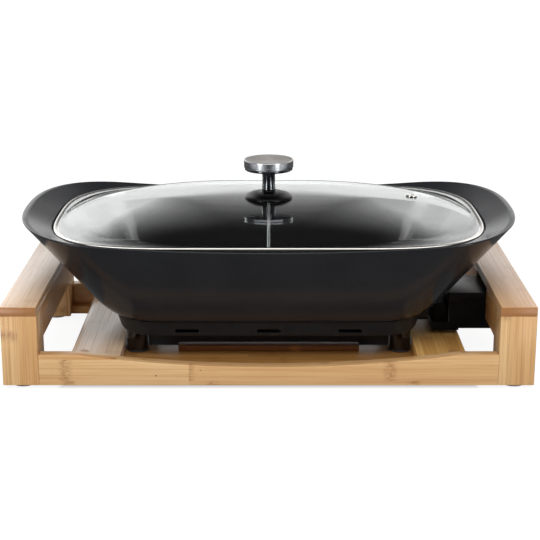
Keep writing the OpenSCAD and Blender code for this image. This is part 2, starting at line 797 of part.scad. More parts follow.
module pan() color(coated_black) {
  loft(concat(
    [for (t = fillet_steps) outer_fillet(t)],
    [outer_ring(1, 1), rim_ring(rim_round, rim_round, 0), rim_ring(rim_top_end, rim_top, rim_round / 3)],
    [with_z(lip_pts, [for (p = lip_pts) lip_z(p[0])]), at_z(seat_pts, seat_z), at_z(seat_in_pts, seat_z)],
    [for (i = [len(fillet_steps) - 1 : -1 : 0]) inner_fillet(fillet_steps[i])]
  ));
  for (sx = [-1, 1], sy = [-1, 1]) guide_rib(sx, sy);
}

// Heater base
module base_skirt() color(moulded_black) {
  difference() {
    loft([
      at_z(outline(inset(skirt_shape, base_edge_r)), base_z),
      at_z(outline(inset(skirt_shape, base_edge_r * edge_share)), base_z + base_edge_r * edge_share),
      at_z(outline(skirt_shape), base_z + base_edge_r),
      dropped(skirt_edge, base_seam),
      dropped(skirt_edge_in, base_seam),
      at_z(outline(inset(skirt_shape, base_wall)), base_z + base_edge_r),
      at_z(outline(inset(skirt_shape, base_edge_r + base_wall)), base_floor_z)
    ]);
    for (k = [-1, 0, 1])
      translate([k * vent_slot_pitch, 0, base_z + vent_slot_rise])
        rotate([90, 0, 0])
          linear_extrude(4 * rim_half_d, center = true)
            stadium(vent_slot_l, vent_slot_h);
    translate([guard_x, -guard_half_w, base_z - cut]) cube([rim_half_w, 2 * guard_half_w, pan_z]);
    corners(foot_x, foot_y)
      translate([0, 0, base_z - cut]) cylinder(r = foot_screw_r + hole_fit, h = base_floor_t + 2 * cut);
  }
  corners(foot_x, foot_y)
    difference() {
      translate([0, 0, base_z + base_floor_t / 2]) cylinder(r = boss_r, h = boss_h + base_floor_t / 2);
      translate([0, 0, base_z]) cylinder(r = foot_screw_r + hole_fit, h = boss_top - boss_roof - base_z);
    }
}

module base_feet() color(moulded_black)
  corners(foot_x, foot_y)
    difference() {
      translate([0, 0, plank_top + pad_t]) cylinder(r = foot_r, h = base_z - plank_top - pad_t);
      translate([0, 0, plank_top + pad_t - cut])
        cylinder(r = foot_screw_head_r + hole_fit, h = foot_recess + cut);
      translate([0, 0, plank_top]) cylinder(r = foot_screw_r + hole_fit, h = base_z);
    }

module foot_pads() color("dimgray")
  corners(foot_x, foot_y)
    translate([0, 0, plank_top])
      cylinder(r = pad_r, h = pad_t);

module foot_screws() color(steel)
  corners(foot_x, foot_y) {
    head_z = plank_top + pad_t + foot_recess;
    translate([0, 0, head_z - foot_screw_head_h]) cylinder(r = foot_screw_head_r, h = foot_screw_head_h);
    translate([0, 0, head_z]) cylinder(r = foot_screw_r, h = boss_top - boss_roof - screw_end - head_z);
  }

module heating_element() color("gray")
  translate([0, 0, tube_z]) {
    translate([-tube_end_x, 0, 0]) rotate(90) tube_turn(180, tube_run_y);
    for (s = [0, 1]) mirror([0, s, 0]) tube_half();
  }

module tube_turn(turn, r) rotate_extrude(angle = turn) translate([r, 0]) circle(tube_r);

module tube_half() {
  turn_x = tube_run_x + tube_bend;
  out_x = turn_x + tube_bend;
  step_y = tube_run_y - tube_bend;
  in_y = pin_y + tube_bend;
  along_x(-tube_end_x, tube_run_y, 0) cylinder(r = tube_r, h = tube_end_x + tube_run_x);
  translate([tube_run_x, step_y, 0]) tube_turn(90, tube_bend);
  translate([turn_x, in_y, 0]) rotate([-90, 0, 0]) cylinder(r = tube_r, h = step_y - in_y);
  translate([out_x, in_y, 0]) rotate(180) tube_turn(90, tube_bend);
  along_x(out_x, pin_y, 0) cylinder(r = tube_r, h = terminal_x - out_x);
}

module contact_pins() color("goldenrod")
  for (s = [-1, 1]) {
    along_x(terminal_x, s * pin_y, plug_z) cylinder(r = pin_r, h = pin_tip_x - pin_r - terminal_x);
    translate([pin_tip_x - pin_r, s * pin_y, plug_z]) sphere(pin_r);
  }

module probe_well() color("gainsboro")
  difference() {
    w = 2 * (probe_r + well_wall);
    translate([well_x, -w / 2, well_z]) cube([terminal_x - well_x, w, pan_z - well_z]);
    along_x(well_x + well_end, 0, plug_z) cylinder(r = probe_r + run_fit, h = terminal_x);
  }

module reflector_plate() color("gainsboro")
  translate([0, 0, base_floor_z])
    linear_extrude(reflector_t)
      round_rect(2 * (foot_x - boss_r - reflector_gap), 2 * (tube_run_y + tube_r), reflector_round);

module socket_guard() color(moulded_black)
  difference() {
    along_x(guard_x, 0, guard_z + guard_h / 2)
      linear_extrude(guard_l)
        round_rect(2 * guard_half_w, guard_h, guard_round);
    translate([guard_x + guard_wall, -plug_half_w - plug_play, plug_z - plug_h / 2 - plug_play])
      cube([guard_l, 2 * (plug_half_w + plug_play), plug_h + 2 * plug_play]);
    for (s = [-1, 1]) along_x(guard_x - cut, s * pin_y, plug_z) cylinder(r = pin_r + hole_fit, h = guard_l);
    along_x(guard_x - cut, 0, plug_z) cylinder(r = probe_r + plug_play, h = guard_l);
  }

// Lid
module at_vent() translate([vent_x, vent_y, vent_z]) rotate([0, vent_tilt, atan2(vent_y, vent_x)]) children();

module lid_glass() color("aliceblue", 0.35)
  difference() {
    loft(concat(
      [for (i = [len(dome_steps) - 1 : -1 : 0]) at_z(dome_steps[i] * dome_pts, under_dome_z(dome_steps[i]))],
      [at_z(leg_pts, glass_edge_low), at_z(glass_pts, glass_edge_low)],
      [at_z(glass_pts, glass_edge_top), at_z(leg_pts, glass_edge_top)],
      [for (s = dome_steps) at_z(s * dome_pts, dome_z(s))]
    ));
    translate([0, 0, under_z - glass_t]) cylinder(r = knob_screw_r + knob_play, h = 3 * glass_t);
    at_vent() cylinder(r = vent_r + hole_fit, h = 6 * glass_t, center = true);
  }

module lid_band() color(steel) {
  channel = outline(inset(lid_shape, band_t));
  leg = outline(inset(lid_shape, band_leg));
  top = lid_z + band_h;
  loft_hoop([
    at_z(lid_pts, lid_z), at_z(lid_pts, top), at_z(leg, top), at_z(leg, top - band_t),
    at_z(channel, top - band_t), at_z(channel, lid_z + band_t), at_z(leg, lid_z + band_t), at_z(leg, lid_z)
  ]);
}

module steam_vent() color(steel)
  at_vent()
    difference() {
      union() {
        translate([0, 0, -glass_t - vent_tail]) cylinder(r = vent_r, h = glass_t + vent_tail + 2 * vent_lift);
        translate([0, 0, vent_lift]) cylinder(r = vent_r + vent_flange_w, h = vent_flange_t);
      }
      cylinder(r = vent_hole_r, h = 8 * glass_t, center = true);
    }

module knob_bore()
  translate([0, 0, -cut]) cylinder(r = knob_screw_r + hole_fit, h = knob_bore_z - crown_z + cut);

module knob_flange() color(moulded_black)
  translate([0, 0, crown_z])
    difference() {
      rotate_extrude()
        difference() {
          polygon([
            [0, 0], [flange_r, 0], [flange_r, flange_t], [neck_r + flange_flare, flange_t + flange_rise],
            [neck_r + flange_flare, flange_h], [0, flange_h]
          ]);
          translate([neck_r + flange_flare, flange_h]) circle(flange_flare);
        }
      knob_bore();
    }

module knob_collar() color(steel)
  translate([0, 0, crown_z])
    difference() {
      translate([0, 0, flange_h]) cylinder(r = neck_r + collar_ring_w, h = collar_ring_h);
      knob_bore();
    }

module knob_neck() color(moulded_black)
  translate([0, 0, crown_z])
    difference() {
      rotate_extrude()
        difference() {
          union() {
            translate([0, neck_z]) square([neck_r, neck_h - neck_z]);
            translate([0, neck_h - bowl_h]) square([cap_r - bowl_in, bowl_h]);
            translate([0, neck_h - bowl_h - neck_flare]) square([neck_r + neck_flare, neck_flare]);
          }
          translate([neck_r + neck_flare, neck_h - bowl_h - neck_flare]) circle(neck_flare);
        }
      knob_bore();
    }

module knob_cap() color(steel)
  translate([0, 0, cap_z])
    rotate_extrude()
      difference() {
        union() {
          square([cap_r, cap_h - cap_edge]);
          square([cap_r - cap_edge, cap_h]);
          translate([cap_r - cap_edge, cap_h - cap_edge]) circle(cap_edge);
        }
        translate([0, cap_h - dish_depth + dish_r]) circle(dish_r, $fn = 720);
      }

module knob_screw() color(steel) {
  head_z = under_z - washer_t;
  translate([0, 0, head_z - knob_head_h]) cylinder(r = knob_head_r, h = knob_head_h);
  translate([0, 0, head_z]) cylinder(r = knob_screw_r, h = knob_bore_z - screw_end - head_z);
}

module knob_washer() color(steel)
  translate([0, 0, under_z - washer_t])
    difference() {
      cylinder(r = washer_r, h = washer_t);
      translate([0, 0, -cut]) cylinder(r = knob_screw_r + hole_fit, h = washer_t + 2 * cut);
    }

// Divider
module divider_plate() color("silver") {
  foot_y0 = wall_y(guide_z) - divider_play / cos(wall_lean) - pan_inner_fillet * wall_rise;
  low_y = wall_y(guide_z) - divider_play / cos(wall_lean);
  high_y = wall_y(divider_top) - divider_play / cos(wall_lean);
  along_x(-divider_t / 2, 0, 0)
    linear_extrude(divider_t)
      polygon([
        [-foot_y0, divider_foot], [foot_y0, divider_foot], [low_y, guide_z],
        [high_y, divider_top], [-high_y, divider_top], [-low_y, guide_z]
      ]);
  bead_half = wall_y(divider_top) - guide_w - divider_play;
  translate([0, bead_half, divider_top]) rotate([90, 0, 0]) cylinder(r = bead_r, h = 2 * bead_half);
}

// Thermostat
module housing_box(z, h)
  translate([housing_x + housing_l / 2, 0, z])
    linear_extrude(h)
      round_rect(housing_l, 2 * housing_half_w, housing_round);

module cover_screw_places()
  for (x = [housing_x + cover_screw_in, housing_end - cover_screw_in], sy = [-1, 1])
    translate([x, sy * (housing_half_w - cover_screw_in), 0]) children();

module end_wall_hole(y, z, r)
  along_x(housing_end - housing_wall - cut, y, z) cylinder(r = r, h = housing_wall + 2 * cut);

module thermostat_housing() color(moulded_black)
  difference() {
    union() {
      difference() {
        housing_box(housing_z, cover_z - housing_z);
        translate([housing_x + housing_wall, -housing_half_w + housing_wall, housing_z + housing_wall])
          cube([housing_l - 2 * housing_wall, 2 * (housing_half_w - housing_wall), housing_h]);
      }
      cover_screw_places()
        translate([0, 0, housing_z + housing_wall / 2])
          cylinder(r = cover_boss_r, h = cover_z - housing_z - housing_wall / 2);
      translate([housing_x - lip_l, -housing_half_w, lip_z0])
        cube([lip_l + housing_round, 2 * housing_half_w, lip_h]);
      translate([housing_x - cut, -housing_half_w, lip_z0])
        cube([lip_under + cut, 2 * housing_half_w, lip_drop]);
    }
    cover_screw_places() {
      translate([0, 0, lip_z0 - cut]) cylinder(r = cover_screw_r + hole_fit, h = housing_h);
      translate([0, 0, lip_z0 - cut])
        cylinder(r = cover_head_r + hole_fit, h = cover_head_z + cover_head_h - lip_z0 + cut);
    }
    end_wall_hole(0, dial_z, shaft_r + run_fit);
    end_wall_hole(lens_y, lens_z, lens_r + hole_fit);
    end_wall_hole(gland_y, gland_z, gland_sleeve_r + hole_fit);
    along_x(housing_x - cut, 0, plug_z) cylinder(r = probe_r + hole_fit, h = housing_wall + 2 * cut);
  }

module thermostat_cover() color("#3a3a3c") {
  difference() {
    housing_box(cover_z, cover_h);
    translate([housing_x + housing_wall, -housing_half_w + housing_wall, cover_z - cut])
      cube([housing_l - 2 * housing_wall, 2 * (housing_half_w - housing_wall), cover_h - housing_wall + cut]);
  }
  cover_screw_places()
    difference() {
      translate([0, 0, cover_z]) cylinder(r = cover_boss_r, h = cover_h - housing_wall / 2);
      translate([0, 0, cover_z - cut])
        cylinder(r = cover_screw_r + hole_fit, h = cover_bite + cut + hole_fit);
    }
}

module cover_screws() color(steel)
  cover_screw_places() {
    translate([0, 0, cover_head_z]) cylinder(r = cover_head_r, h = cover_head_h);
    translate([0, 0, cover_head_z + cover_head_h])
      cylinder(r = cover_screw_r, h = cover_z + cover_bite - cover_head_z - cover_head_h);
  }

module plug_block() color(moulded_black)
  difference() {
    union() {
      translate([collar_x, -collar_half_w, collar_z]) cube([collar_l, 2 * collar_half_w, collar_h]);
      along_x(plug_x, 0, plug_z) linear_extrude(plug_l) round_rect(2 * plug_half_w, plug_h, plug_round);
    }
    along_x(plug_x - cut, 0, plug_z) cylinder(r = probe_r + hole_fit, h = plug_l + collar_l + 2 * cut);
    for (s = [-1, 1])
      along_x(plug_x - cut, s * pin_y, plug_z) cylinder(r = pin_r + socket_wall + run_fit, h = plug_l + cut);
  }

module contact_sockets() color("goldenrod")
  for (s = [-1, 1])
    along_x(plug_x + socket_in, s * pin_y, plug_z)
      difference() {
        cylinder(r = pin_r + socket_wall, h = plug_l - socket_in);
        translate([0, 0, -cut]) cylinder(r = pin_r + run_fit, h = plug_l - 2 * socket_in + cut);
      }

module temperature_probe() color(steel) {
  along_x(probe_tip + probe_r, 0, plug_z)
    cylinder(r = probe_r, h = housing_x + housing_wall - probe_tip - probe_r);
  translate([probe_tip + probe_r, 0, plug_z]) sphere(probe_r);
}

module switch_block() color("whitesmoke") {
  floor_in = housing_z + housing_wall;
  rise = dial_z - shaft_r - rest_gap - floor_in;
  translate([housing_x + switch_in, -switch_half_w, floor_in])
    cube([housing_l - switch_in - switch_end, 2 * switch_half_w, rise]);
}

module indicator_lens() color("orangered")
  along_x(housing_end - housing_wall, lens_y, lens_z) cylinder(r = lens_r, h = housing_wall + lens_proud);

module cord_gland() color(moulded_black)
  along_x(housing_end, gland_y, gland_z)
    difference() {
      union() {
        cylinder(r = gland_r, h = gland_l);
        translate([0, 0, -housing_wall]) cylinder(r = gland_sleeve_r, h = housing_wall);
      }
      translate([0, 0, -housing_wall - cut]) cylinder(r = gland_bore_r, h = housing_wall + gland_l + 2 * cut);
    }

// Dial
module dial_knob() color(moulded_black)
  along_x(housing_end + dial_gap, 0, dial_z)
    difference() {
      union() {
        cylinder(r = dial_r, h = dial_t / 2);
        cylinder(r = dial_r - dial_step, h = dial_t - dial_step / 2);
        translate([-grip_w / 2, (grip_w - 2 * dial_r) / 2, 0]) cube([grip_w, 2 * dial_r - grip_w, dial_t]);
      }
      translate([0, 0, -cut]) cylinder(r = shaft_r, h = dial_t - dial_step + cut);
      for (k = [1 : flute_n])
        rotate(360 * k / flute_n)
          translate([dial_r + flute_out, 0, -cut])
            cylinder(r = flute_r, h = dial_t, $fn = 24);
    }

module dial_shaft() color(steel)
  along_x(housing_end - shaft_l, 0, dial_z)
    cylinder(r = shaft_r, h = shaft_l + dial_gap + dial_t - dial_step);

front_rail();
back_rail();
front_left_post();
front_right_post();
back_left_post();
back_right_post();
left_top_rail();
right_top_rail();
left_apron();
right_front_apron();
right_back_apron();
front_cleat();
back_cleat();
front_plank();
back_plank();
left_cross_board();
right_cross_board();
front_batten();
back_batten();
board_screws();
board_plugs();
joint_dowels();
stand_feet();
pan();
base_skirt();
base_feet();
foot_pads();
foot_screws();
heating_element();
contact_pins();
probe_well();
reflector_plate();
socket_guard();
lid_glass();
lid_band();
steam_vent();
knob_flange();
knob_collar();
knob_neck();
knob_cap();
knob_screw();
knob_washer();
divider_plate();
thermostat_housing();
thermostat_cover();
cover_screws();
plug_block();
contact_sockets();
temperature_probe();
switch_block();
indicator_lens();
cord_gland();
dial_knob();
dial_shaft();
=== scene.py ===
"""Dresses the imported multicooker: a boat-shaped pan with a glass lid on a bamboo stand.

Every size is in millimetres in the sub-assemblies' fields and in metres in the meshes. The frame is the
part's own: +X right, +Y back, +Z up, with the origin on the table under the middle of the stand.
"""

import logging
import math
from dataclasses import dataclass
from enum import Enum
from typing import Any, Callable, Sequence

import bmesh
import bpy
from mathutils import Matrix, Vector


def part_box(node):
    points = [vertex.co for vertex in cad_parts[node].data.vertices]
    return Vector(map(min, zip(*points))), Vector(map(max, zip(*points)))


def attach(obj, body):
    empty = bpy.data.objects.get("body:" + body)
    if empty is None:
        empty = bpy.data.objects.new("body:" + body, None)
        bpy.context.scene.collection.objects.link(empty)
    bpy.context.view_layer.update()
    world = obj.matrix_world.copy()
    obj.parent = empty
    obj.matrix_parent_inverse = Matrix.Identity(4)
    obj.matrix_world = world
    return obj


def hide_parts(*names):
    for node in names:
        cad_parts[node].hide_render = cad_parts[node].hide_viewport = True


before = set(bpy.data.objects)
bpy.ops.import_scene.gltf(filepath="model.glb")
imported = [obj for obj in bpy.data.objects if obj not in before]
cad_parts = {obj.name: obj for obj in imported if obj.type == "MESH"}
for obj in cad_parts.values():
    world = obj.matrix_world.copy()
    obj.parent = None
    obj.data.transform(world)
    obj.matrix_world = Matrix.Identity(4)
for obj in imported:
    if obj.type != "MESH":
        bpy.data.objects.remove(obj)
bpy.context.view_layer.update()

MM = 0.001
log = logging.getLogger("multicooker")

# Points nearer than this are one, and faces flatter than this are one.
MERGE_MM = 0.001
FLAT_DEG = 1.0

# Edges sharper than these stay sharp in shading, or are rounded.
SMOOTH_DEG = 32.0
SHARP_DEG = 40.0

# The faces across a rounded edge, on a new piece and on a copied solid.
ROUND_STEPS = 3
COPY_STEPS = 2

# The rounds of the search for an outline's reach.
HALVINGS = 40

# Two ends or two sizes, a place in an outline or a profile, a place in space, and a closed row of places.
Span = tuple[float, float]
Spot = tuple[float, float]
Point = tuple[float, float, float]
Ring = list[Point]
Socket = bpy.types.NodeSocket


class Axis(Enum):
    """The axis along which a piece's grain runs."""

    X = (1.0, 0.0, 0.0)
    Y = (0.0, 1.0, 0.0)
    Z = (0.0, 0.0, 1.0)


class Body(Enum):
    """The bodies of the frame that pieces ride on."""

    STAND = "stand"
    LID = "lid"
    DIVIDER = "divider"
    THERMOSTAT = "thermostat"
    DIAL = "dial"


def linear(colour: str) -> tuple[float, float, float, float]:
    """Turns an sRGB hex colour into linear light.

    Args:
        colour: six hex digits after a hash sign.

    Returns:
        Red, green, blue and an alpha of 1.
    """
    shares = [int(colour[i:i + 2], 16) / 255 for i in (1, 3, 5)]
    red, green, blue = [s / 12.92 if s <= 0.04045 else ((s + 0.055) / 1.055) ** 2.4 for s in shares]
    return red, green, blue, 1.0


def per_metre(size_mm: float) -> float:
    """Gives how many times a pattern of that size in millimetres repeats in a metre."""
    return 1 / (size_mm * MM)


class Graph:
    """A node tree that is built node by node."""

    def __init__(self, tree: bpy.types.NodeTree) -> None:
        """Starts on a tree that exists."""
        self.tree = tree

    def link(self, node: bpy.types.Node, links: dict[Any, Any]) -> None:
        """Sets a node's inputs.

        Args:
            node: the node whose inputs are set.
            links: for each input's name or number, a socket to link or a value to set.
        """
        for key, value in links.items():
            if isinstance(value, bpy.types.NodeSocket):
                self.tree.links.new(value, node.inputs[key])
            else:
                node.inputs[key].default_value = value

    def add(self, kind: str, links: dict[Any, Any] | None = None, **settings: Any) -> bpy.types.Node:
        """Adds a node with its settings and links.

        Args:
            kind: the node's type.
            links: what goes into its inputs, as in link.
            settings: the node's own options.

        Returns:
            The new node.
        """
        node = self.tree.nodes.new(kind)
        for key, value in settings.items():
            setattr(node, key, value)
        self.link(node, links or {})
        return node

    def math(self, operation: str, *values: Any) -> Socket:
        """Adds a sum on numbers.

        Args:
            operation: the kind of sum.
            values: the sockets or numbers that go in.

        Returns:
            The result.
        """
        return self.add("ShaderNodeMath", dict(enumerate(values)), operation=operation).outputs[0]

    def vector(self, operation: str, *values: Any) -> Socket:
        """Adds a sum on vectors.

        Args:
            operation: the kind of sum.
            values: the sockets or vectors that go in.

        Returns:
            The result: a number for a length or a dot product, and otherwise a vector.
        """
        node = self.add("ShaderNodeVectorMath", dict(enumerate(values)), operation=operation)
        return node.outputs[1 if operation in ("LENGTH", "DOT_PRODUCT") else 0]

    def fade(self, value: Socket, span: Span, to: Span = (0.0, 1.0), soft: bool = False) -> Socket:
        """Carries a value from one span over to another, and holds it past the ends.

        Args:
            value: the value.
            span: where it starts and ends.
            to: what it becomes there.
            soft: whether it eases in and out.

        Returns:
            The new value.
        """
        return self.add("ShaderNodeMapRange", {
            "Value": value, "From Min": span[0], "From Max": span[1], "To Min": to[0], "To Max": to[1],
        }, interpolation_type="SMOOTHSTEP" if soft else "LINEAR").outputs[0]

    def mix(self, share: Socket, first: Any, second: Any) -> Socket:
        """Mixes two colours.

        Args:
            share: how much of the second there is.
            first: a colour, or a socket that gives one.
            second: the same.

        Returns:
            The mixed colour.
        """
        return self.add("ShaderNodeMix", {0: share, 6: first, 7: second}, data_type="RGBA").outputs[2]

    def choose(self, test: Socket, otherwise: Any, then: Any) -> Socket:
        """Gives one number where a test is 0, and another where it is 1."""
        return self.add("ShaderNodeMix", {0: test, 2: otherwise, 3: then}).outputs[0]

    def noise(self, place: Socket, size_mm: float, detail: float, swirl: float = 0.0) -> Socket:
        """Adds cloudy noise.

        Args:
            place: where it is.
            size_mm: the size of a cloud.
            detail: how many finer layers it has.
            swirl: how far it is stirred.

        Returns:
            The noise, from 0 to 1.
        """
        return self.add("ShaderNodeTexNoise", {
            "Vector": place, "Scale": per_metre(size_mm), "Detail": detail, "Distortion": swirl,
        }).outputs[0]

    def relief(self, height: Socket, strength: float, depth_mm: float) -> Socket:
        """Raises a surface by a height, up to a depth in millimetres."""
        return self.add("ShaderNodeBump", {
            "Height": height, "Strength": strength, "Distance": depth_mm * MM,
        }).outputs[0]


def new_finish(name: str) -> tuple[bpy.types.Material, Graph, bpy.types.Node]:
    """Starts a material.

    Args:
        name: the material's name.

    Returns:
        The material, its graph and its surface shader.
    """
    material = bpy.data.materials.new(name)
    material.use_nodes = True
    graph = Graph(material.node_tree)
    return material, graph, material.node_tree.nodes["Principled BSDF"]


@dataclass(frozen=True)
class Strips:
    """The places in a glued-up board: along its grain, counted in strips, and shifted from strip to strip.

    Each strip also has a number of its own, drawn by lot.
    """

    graph: Graph
    along: Socket
    counted: Socket
    shifted: Socket
    lot: Socket

    def streaks(self, width_mm: float, length_mm: float, detail: float) -> Socket:
        """Gives noise drawn out along the grain.

        Args:
            width_mm: the width of a streak.
            length_mm: its length.
            detail: how many finer layers it has.

        Returns:
            The noise, from 0 to 1.
        """
        scale = (per_metre(length_mm), per_metre(width_mm), per_metre(width_mm))
        drawn = self.graph.vector("MULTIPLY", self.shifted, scale)
        return self.graph.add("ShaderNodeTexNoise", {
            "Vector": drawn, "Scale": 1.0, "Detail": detail,
        }).outputs[0]

    def dots(self, place: Socket, pitch_mm: float) -> Socket:
        """Gives the distance from scattered dots, as a share of their pitch."""
        cells = self.graph.add("ShaderNodeTexVoronoi", {"Vector": place, "Scale": per_metre(pitch_mm)})
        return cells.outputs["Distance"]


@dataclass(frozen=True)
class Bamboo:
    """Laminated bamboo: strips glued side by side, planed, sanded and oiled.

    The eye sees strips of slightly different tone, fine straight fibres, a brown smudge where each strip
    has a knuckle, a few dark pores, and dotted, darker end grain.
    """

    name: str
    grain: Axis
    pale: str
    warm: str
    fibre: str = "#b07f45"
    knuckle: str = "#96602c"
    end: str = "#a97846"
    pore: str = "#4a2a10"
    strip_mm: Span = (17.0, 34.0)
    shift_mm: Point = (0.0, 0.0, 0.0)
    strip_shift: Point = (0.7, 0.4, 0.4)
    strip_tone: float = 0.8
    tone_span: Span = (0.35, 1.35)
    fibre_mm: float = 1.1
    fibre_length_mm: float = 70.0
    fibre_span: Span = (0.48, 0.72)
    fibre_share: float = 0.5
    fibre_detail: float = 3.0
    vein_mm: float = 2.6
    vein_length_mm: float = 210.0
    vein_span: Span = (0.52, 0.72)
    vein_share: float = 0.6
    band_mm: float = 7.8
    band_length_mm: float = 350.0
    band_detail: float = 2.0
    knuckle_pitch_mm: float = 190.0
    knuckle_length_mm: float = 9.0
    knuckle_share: float = 0.7
    speck_mm: float = 2.2
    speck_length_mm: float = 5.0
    speck_span: Span = (0.35, 0.65)
    speck_share: float = 0.1
    speck_detail: float = 4.0
    pore_pitch_mm: float = 25.0
    pore_edge: Span = (0.03, 0.055)
    pore_share: float = 0.8
    glue_mm: float = 0.5
    glue_share: float = 0.3
    end_span: Span = (0.6, 0.85)
    dot_pitch_mm: float = 1.6
    dot_edge: Span = (0.1, 0.6)
    dot_share: float = 0.8
    roughness: float = 0.4
    gloss_change: Span = (-0.06, 0.1)
    relief_mm: float = 0.12
    relief_strength: float = 0.25
    ior: float = 1.45
    lacquer: float = 0.5
    lacquer_roughness: float = 0.24

    def strips(self, graph: Graph) -> Strips:
        """Lays the strips along the grain.

        Args:
            graph: the material's graph.

        Returns:
            The places in the strips.
        """
        turn = {Axis.X: (0.0, 0.0, 0.0), Axis.Y: (0.0, 0.0, -math.pi / 2), Axis.Z: (0.0, math.pi / 2, 0.0)}
        place = graph.add("ShaderNodeTexCoord").outputs["Object"]
        along = graph.add("ShaderNodeMapping", {
            "Vector": place, "Rotation": turn[self.grain], "Location": [s * MM for s in self.shift_mm],
        }).outputs[0]
        width, height = self.strip_mm
        counted = graph.vector("MULTIPLY", along, (0.0, per_metre(width), per_metre(height)))
        strip = graph.vector("FLOOR", counted)
        lot = graph.add("ShaderNodeTexWhiteNoise", {"Vector": strip}, noise_dimensions="3D")
        shifted = graph.vector("MULTIPLY_ADD", lot.outputs["Color"], self.strip_shift, along)
        return Strips(graph, along, counted, shifted, lot.outputs["Value"])

    def wood(self, strips: Strips, fibres: Socket, bands: Socket) -> Socket:
        """Gives the colour of the strips with their veins and fibres.

        Args:
            strips: the places in the strips.
            fibres: the fine streaks.
            bands: the broad ones.

        Returns:
            The colour.
        """
        graph = strips.graph
        tone = graph.math("MULTIPLY_ADD", strips.lot, self.strip_tone, bands)
        colour = graph.mix(graph.fade(tone, self.tone_span), linear(self.pale), linear(self.warm))
        veins = strips.streaks(self.vein_mm, self.vein_length_mm, self.band_detail)
        vein_share = graph.fade(veins, self.vein_span, (0.0, self.vein_share))
        fibre_share = graph.fade(fibres, self.fibre_span, (0.0, self.fibre_share))
        for share in (vein_share, fibre_share):
            colour = graph.mix(share, colour, linear(self.fibre))
        return colour

    def knuckles(self, strips: Strips) -> Socket:
        """Gives each strip's knuckle, a short dotted smudge at its own place along the strip.

        Args:
            strips: the places in the strips.

        Returns:
            How far the knuckle shows.
        """
        graph = strips.graph
        run = graph.add("ShaderNodeSeparateXYZ", {0: strips.along}).outputs[0]
        turns = graph.math("MULTIPLY_ADD", run, per_metre(self.knuckle_pitch_mm), strips.lot)
        off = graph.math("ABSOLUTE", graph.math("SUBTRACT", graph.math("FRACT", turns), 0.5))
        near = graph.fade(off, (0.0, self.knuckle_length_mm / self.knuckle_pitch_mm), (1.0, 0.0), soft=True)
        specks = strips.streaks(self.speck_mm, self.speck_length_mm, self.speck_detail)
        smudge = graph.fade(specks, self.speck_span, (self.speck_share, self.knuckle_share))
        return graph.math("MULTIPLY", near, smudge)

    def pores(self, strips: Strips) -> Socket:
        """Gives the pores, a few dark pinholes."""
        distance = strips.dots(strips.along, self.pore_pitch_mm)
        return strips.graph.fade(distance, self.pore_edge, (self.pore_share, 0.0))

    def glue_lines(self, strips: Strips) -> Socket:
        """Gives the glue lines between the strips.

        Args:
            strips: the places in the strips.

        Returns:
            How far the glue shows.
        """
        graph = strips.graph
        across = graph.add("ShaderNodeSeparateXYZ", {0: graph.vector("FRACTION", strips.counted)}).outputs[1]
        off = graph.math("ABSOLUTE", graph.math("SUBTRACT", across, 0.5))
        return graph.fade(off, (0.5 - self.glue_mm / self.strip_mm[0], 0.5), (0.0, self.glue_share))

    def end_faces(self, graph: Graph) -> Socket:
        """Tells the strips' cut ends from their sides.

        Args:
            graph: the material's graph.

        Returns:
            1 on an end, 0 on a side.
        """
        normal = graph.add("ShaderNodeNewGeometry").outputs["Normal"]
        facing = graph.vector("DOT_PRODUCT", normal, self.grain.value)
        return graph.fade(graph.math("ABSOLUTE", facing), self.end_span)

    def end_grain(self, strips: Strips, bands: Socket) -> Socket:
        """Gives the colour of the ends: dotted with cut fibres, and darker, because they drink more oil.

        Args:
            strips: the places in the strips.
            bands: the broad streaks.

        Returns:
            The colour.
        """
        graph = strips.graph
        distance = strips.dots(strips.shifted, self.dot_pitch_mm)
        dot = graph.fade(distance, self.dot_edge, (0.0, self.dot_share))
        dotted = graph.mix(dot, linear(self.knuckle), linear(self.end))
        return graph.mix(bands, dotted, linear(self.end))

    def material(self) -> bpy.types.Material:
        """Builds the bamboo.

        Returns:
            The material.
        """
        material, graph, surface = new_finish(self.name)
        strips = self.strips(graph)
        fibres = strips.streaks(self.fibre_mm, self.fibre_length_mm, self.fibre_detail)
        bands = strips.streaks(self.band_mm, self.band_length_mm, self.band_detail)
        colour = self.wood(strips, fibres, bands)
        for share, dark in (
            (self.knuckles(strips), self.knuckle),
            (self.pores(strips), self.pore),
            (self.glue_lines(strips), self.knuckle),
        ):
            colour = graph.mix(share, colour, linear(dark))
        colour = graph.mix(self.end_faces(graph), colour, self.end_grain(strips, bands))
        smoother, rougher = self.gloss_change
        gloss = (self.roughness + smoother, self.roughness + rougher)
        graph.link(surface, {
            "Base Color": colour, "Roughness": graph.fade(fibres, (0.0, 1.0), gloss), "IOR": self.ior,
            "Normal": graph.relief(fibres, self.relief_strength, self.relief_mm),
            "Coat Weight": self.lacquer, "Coat Roughness": self.lacquer_roughness,
        })
        return material


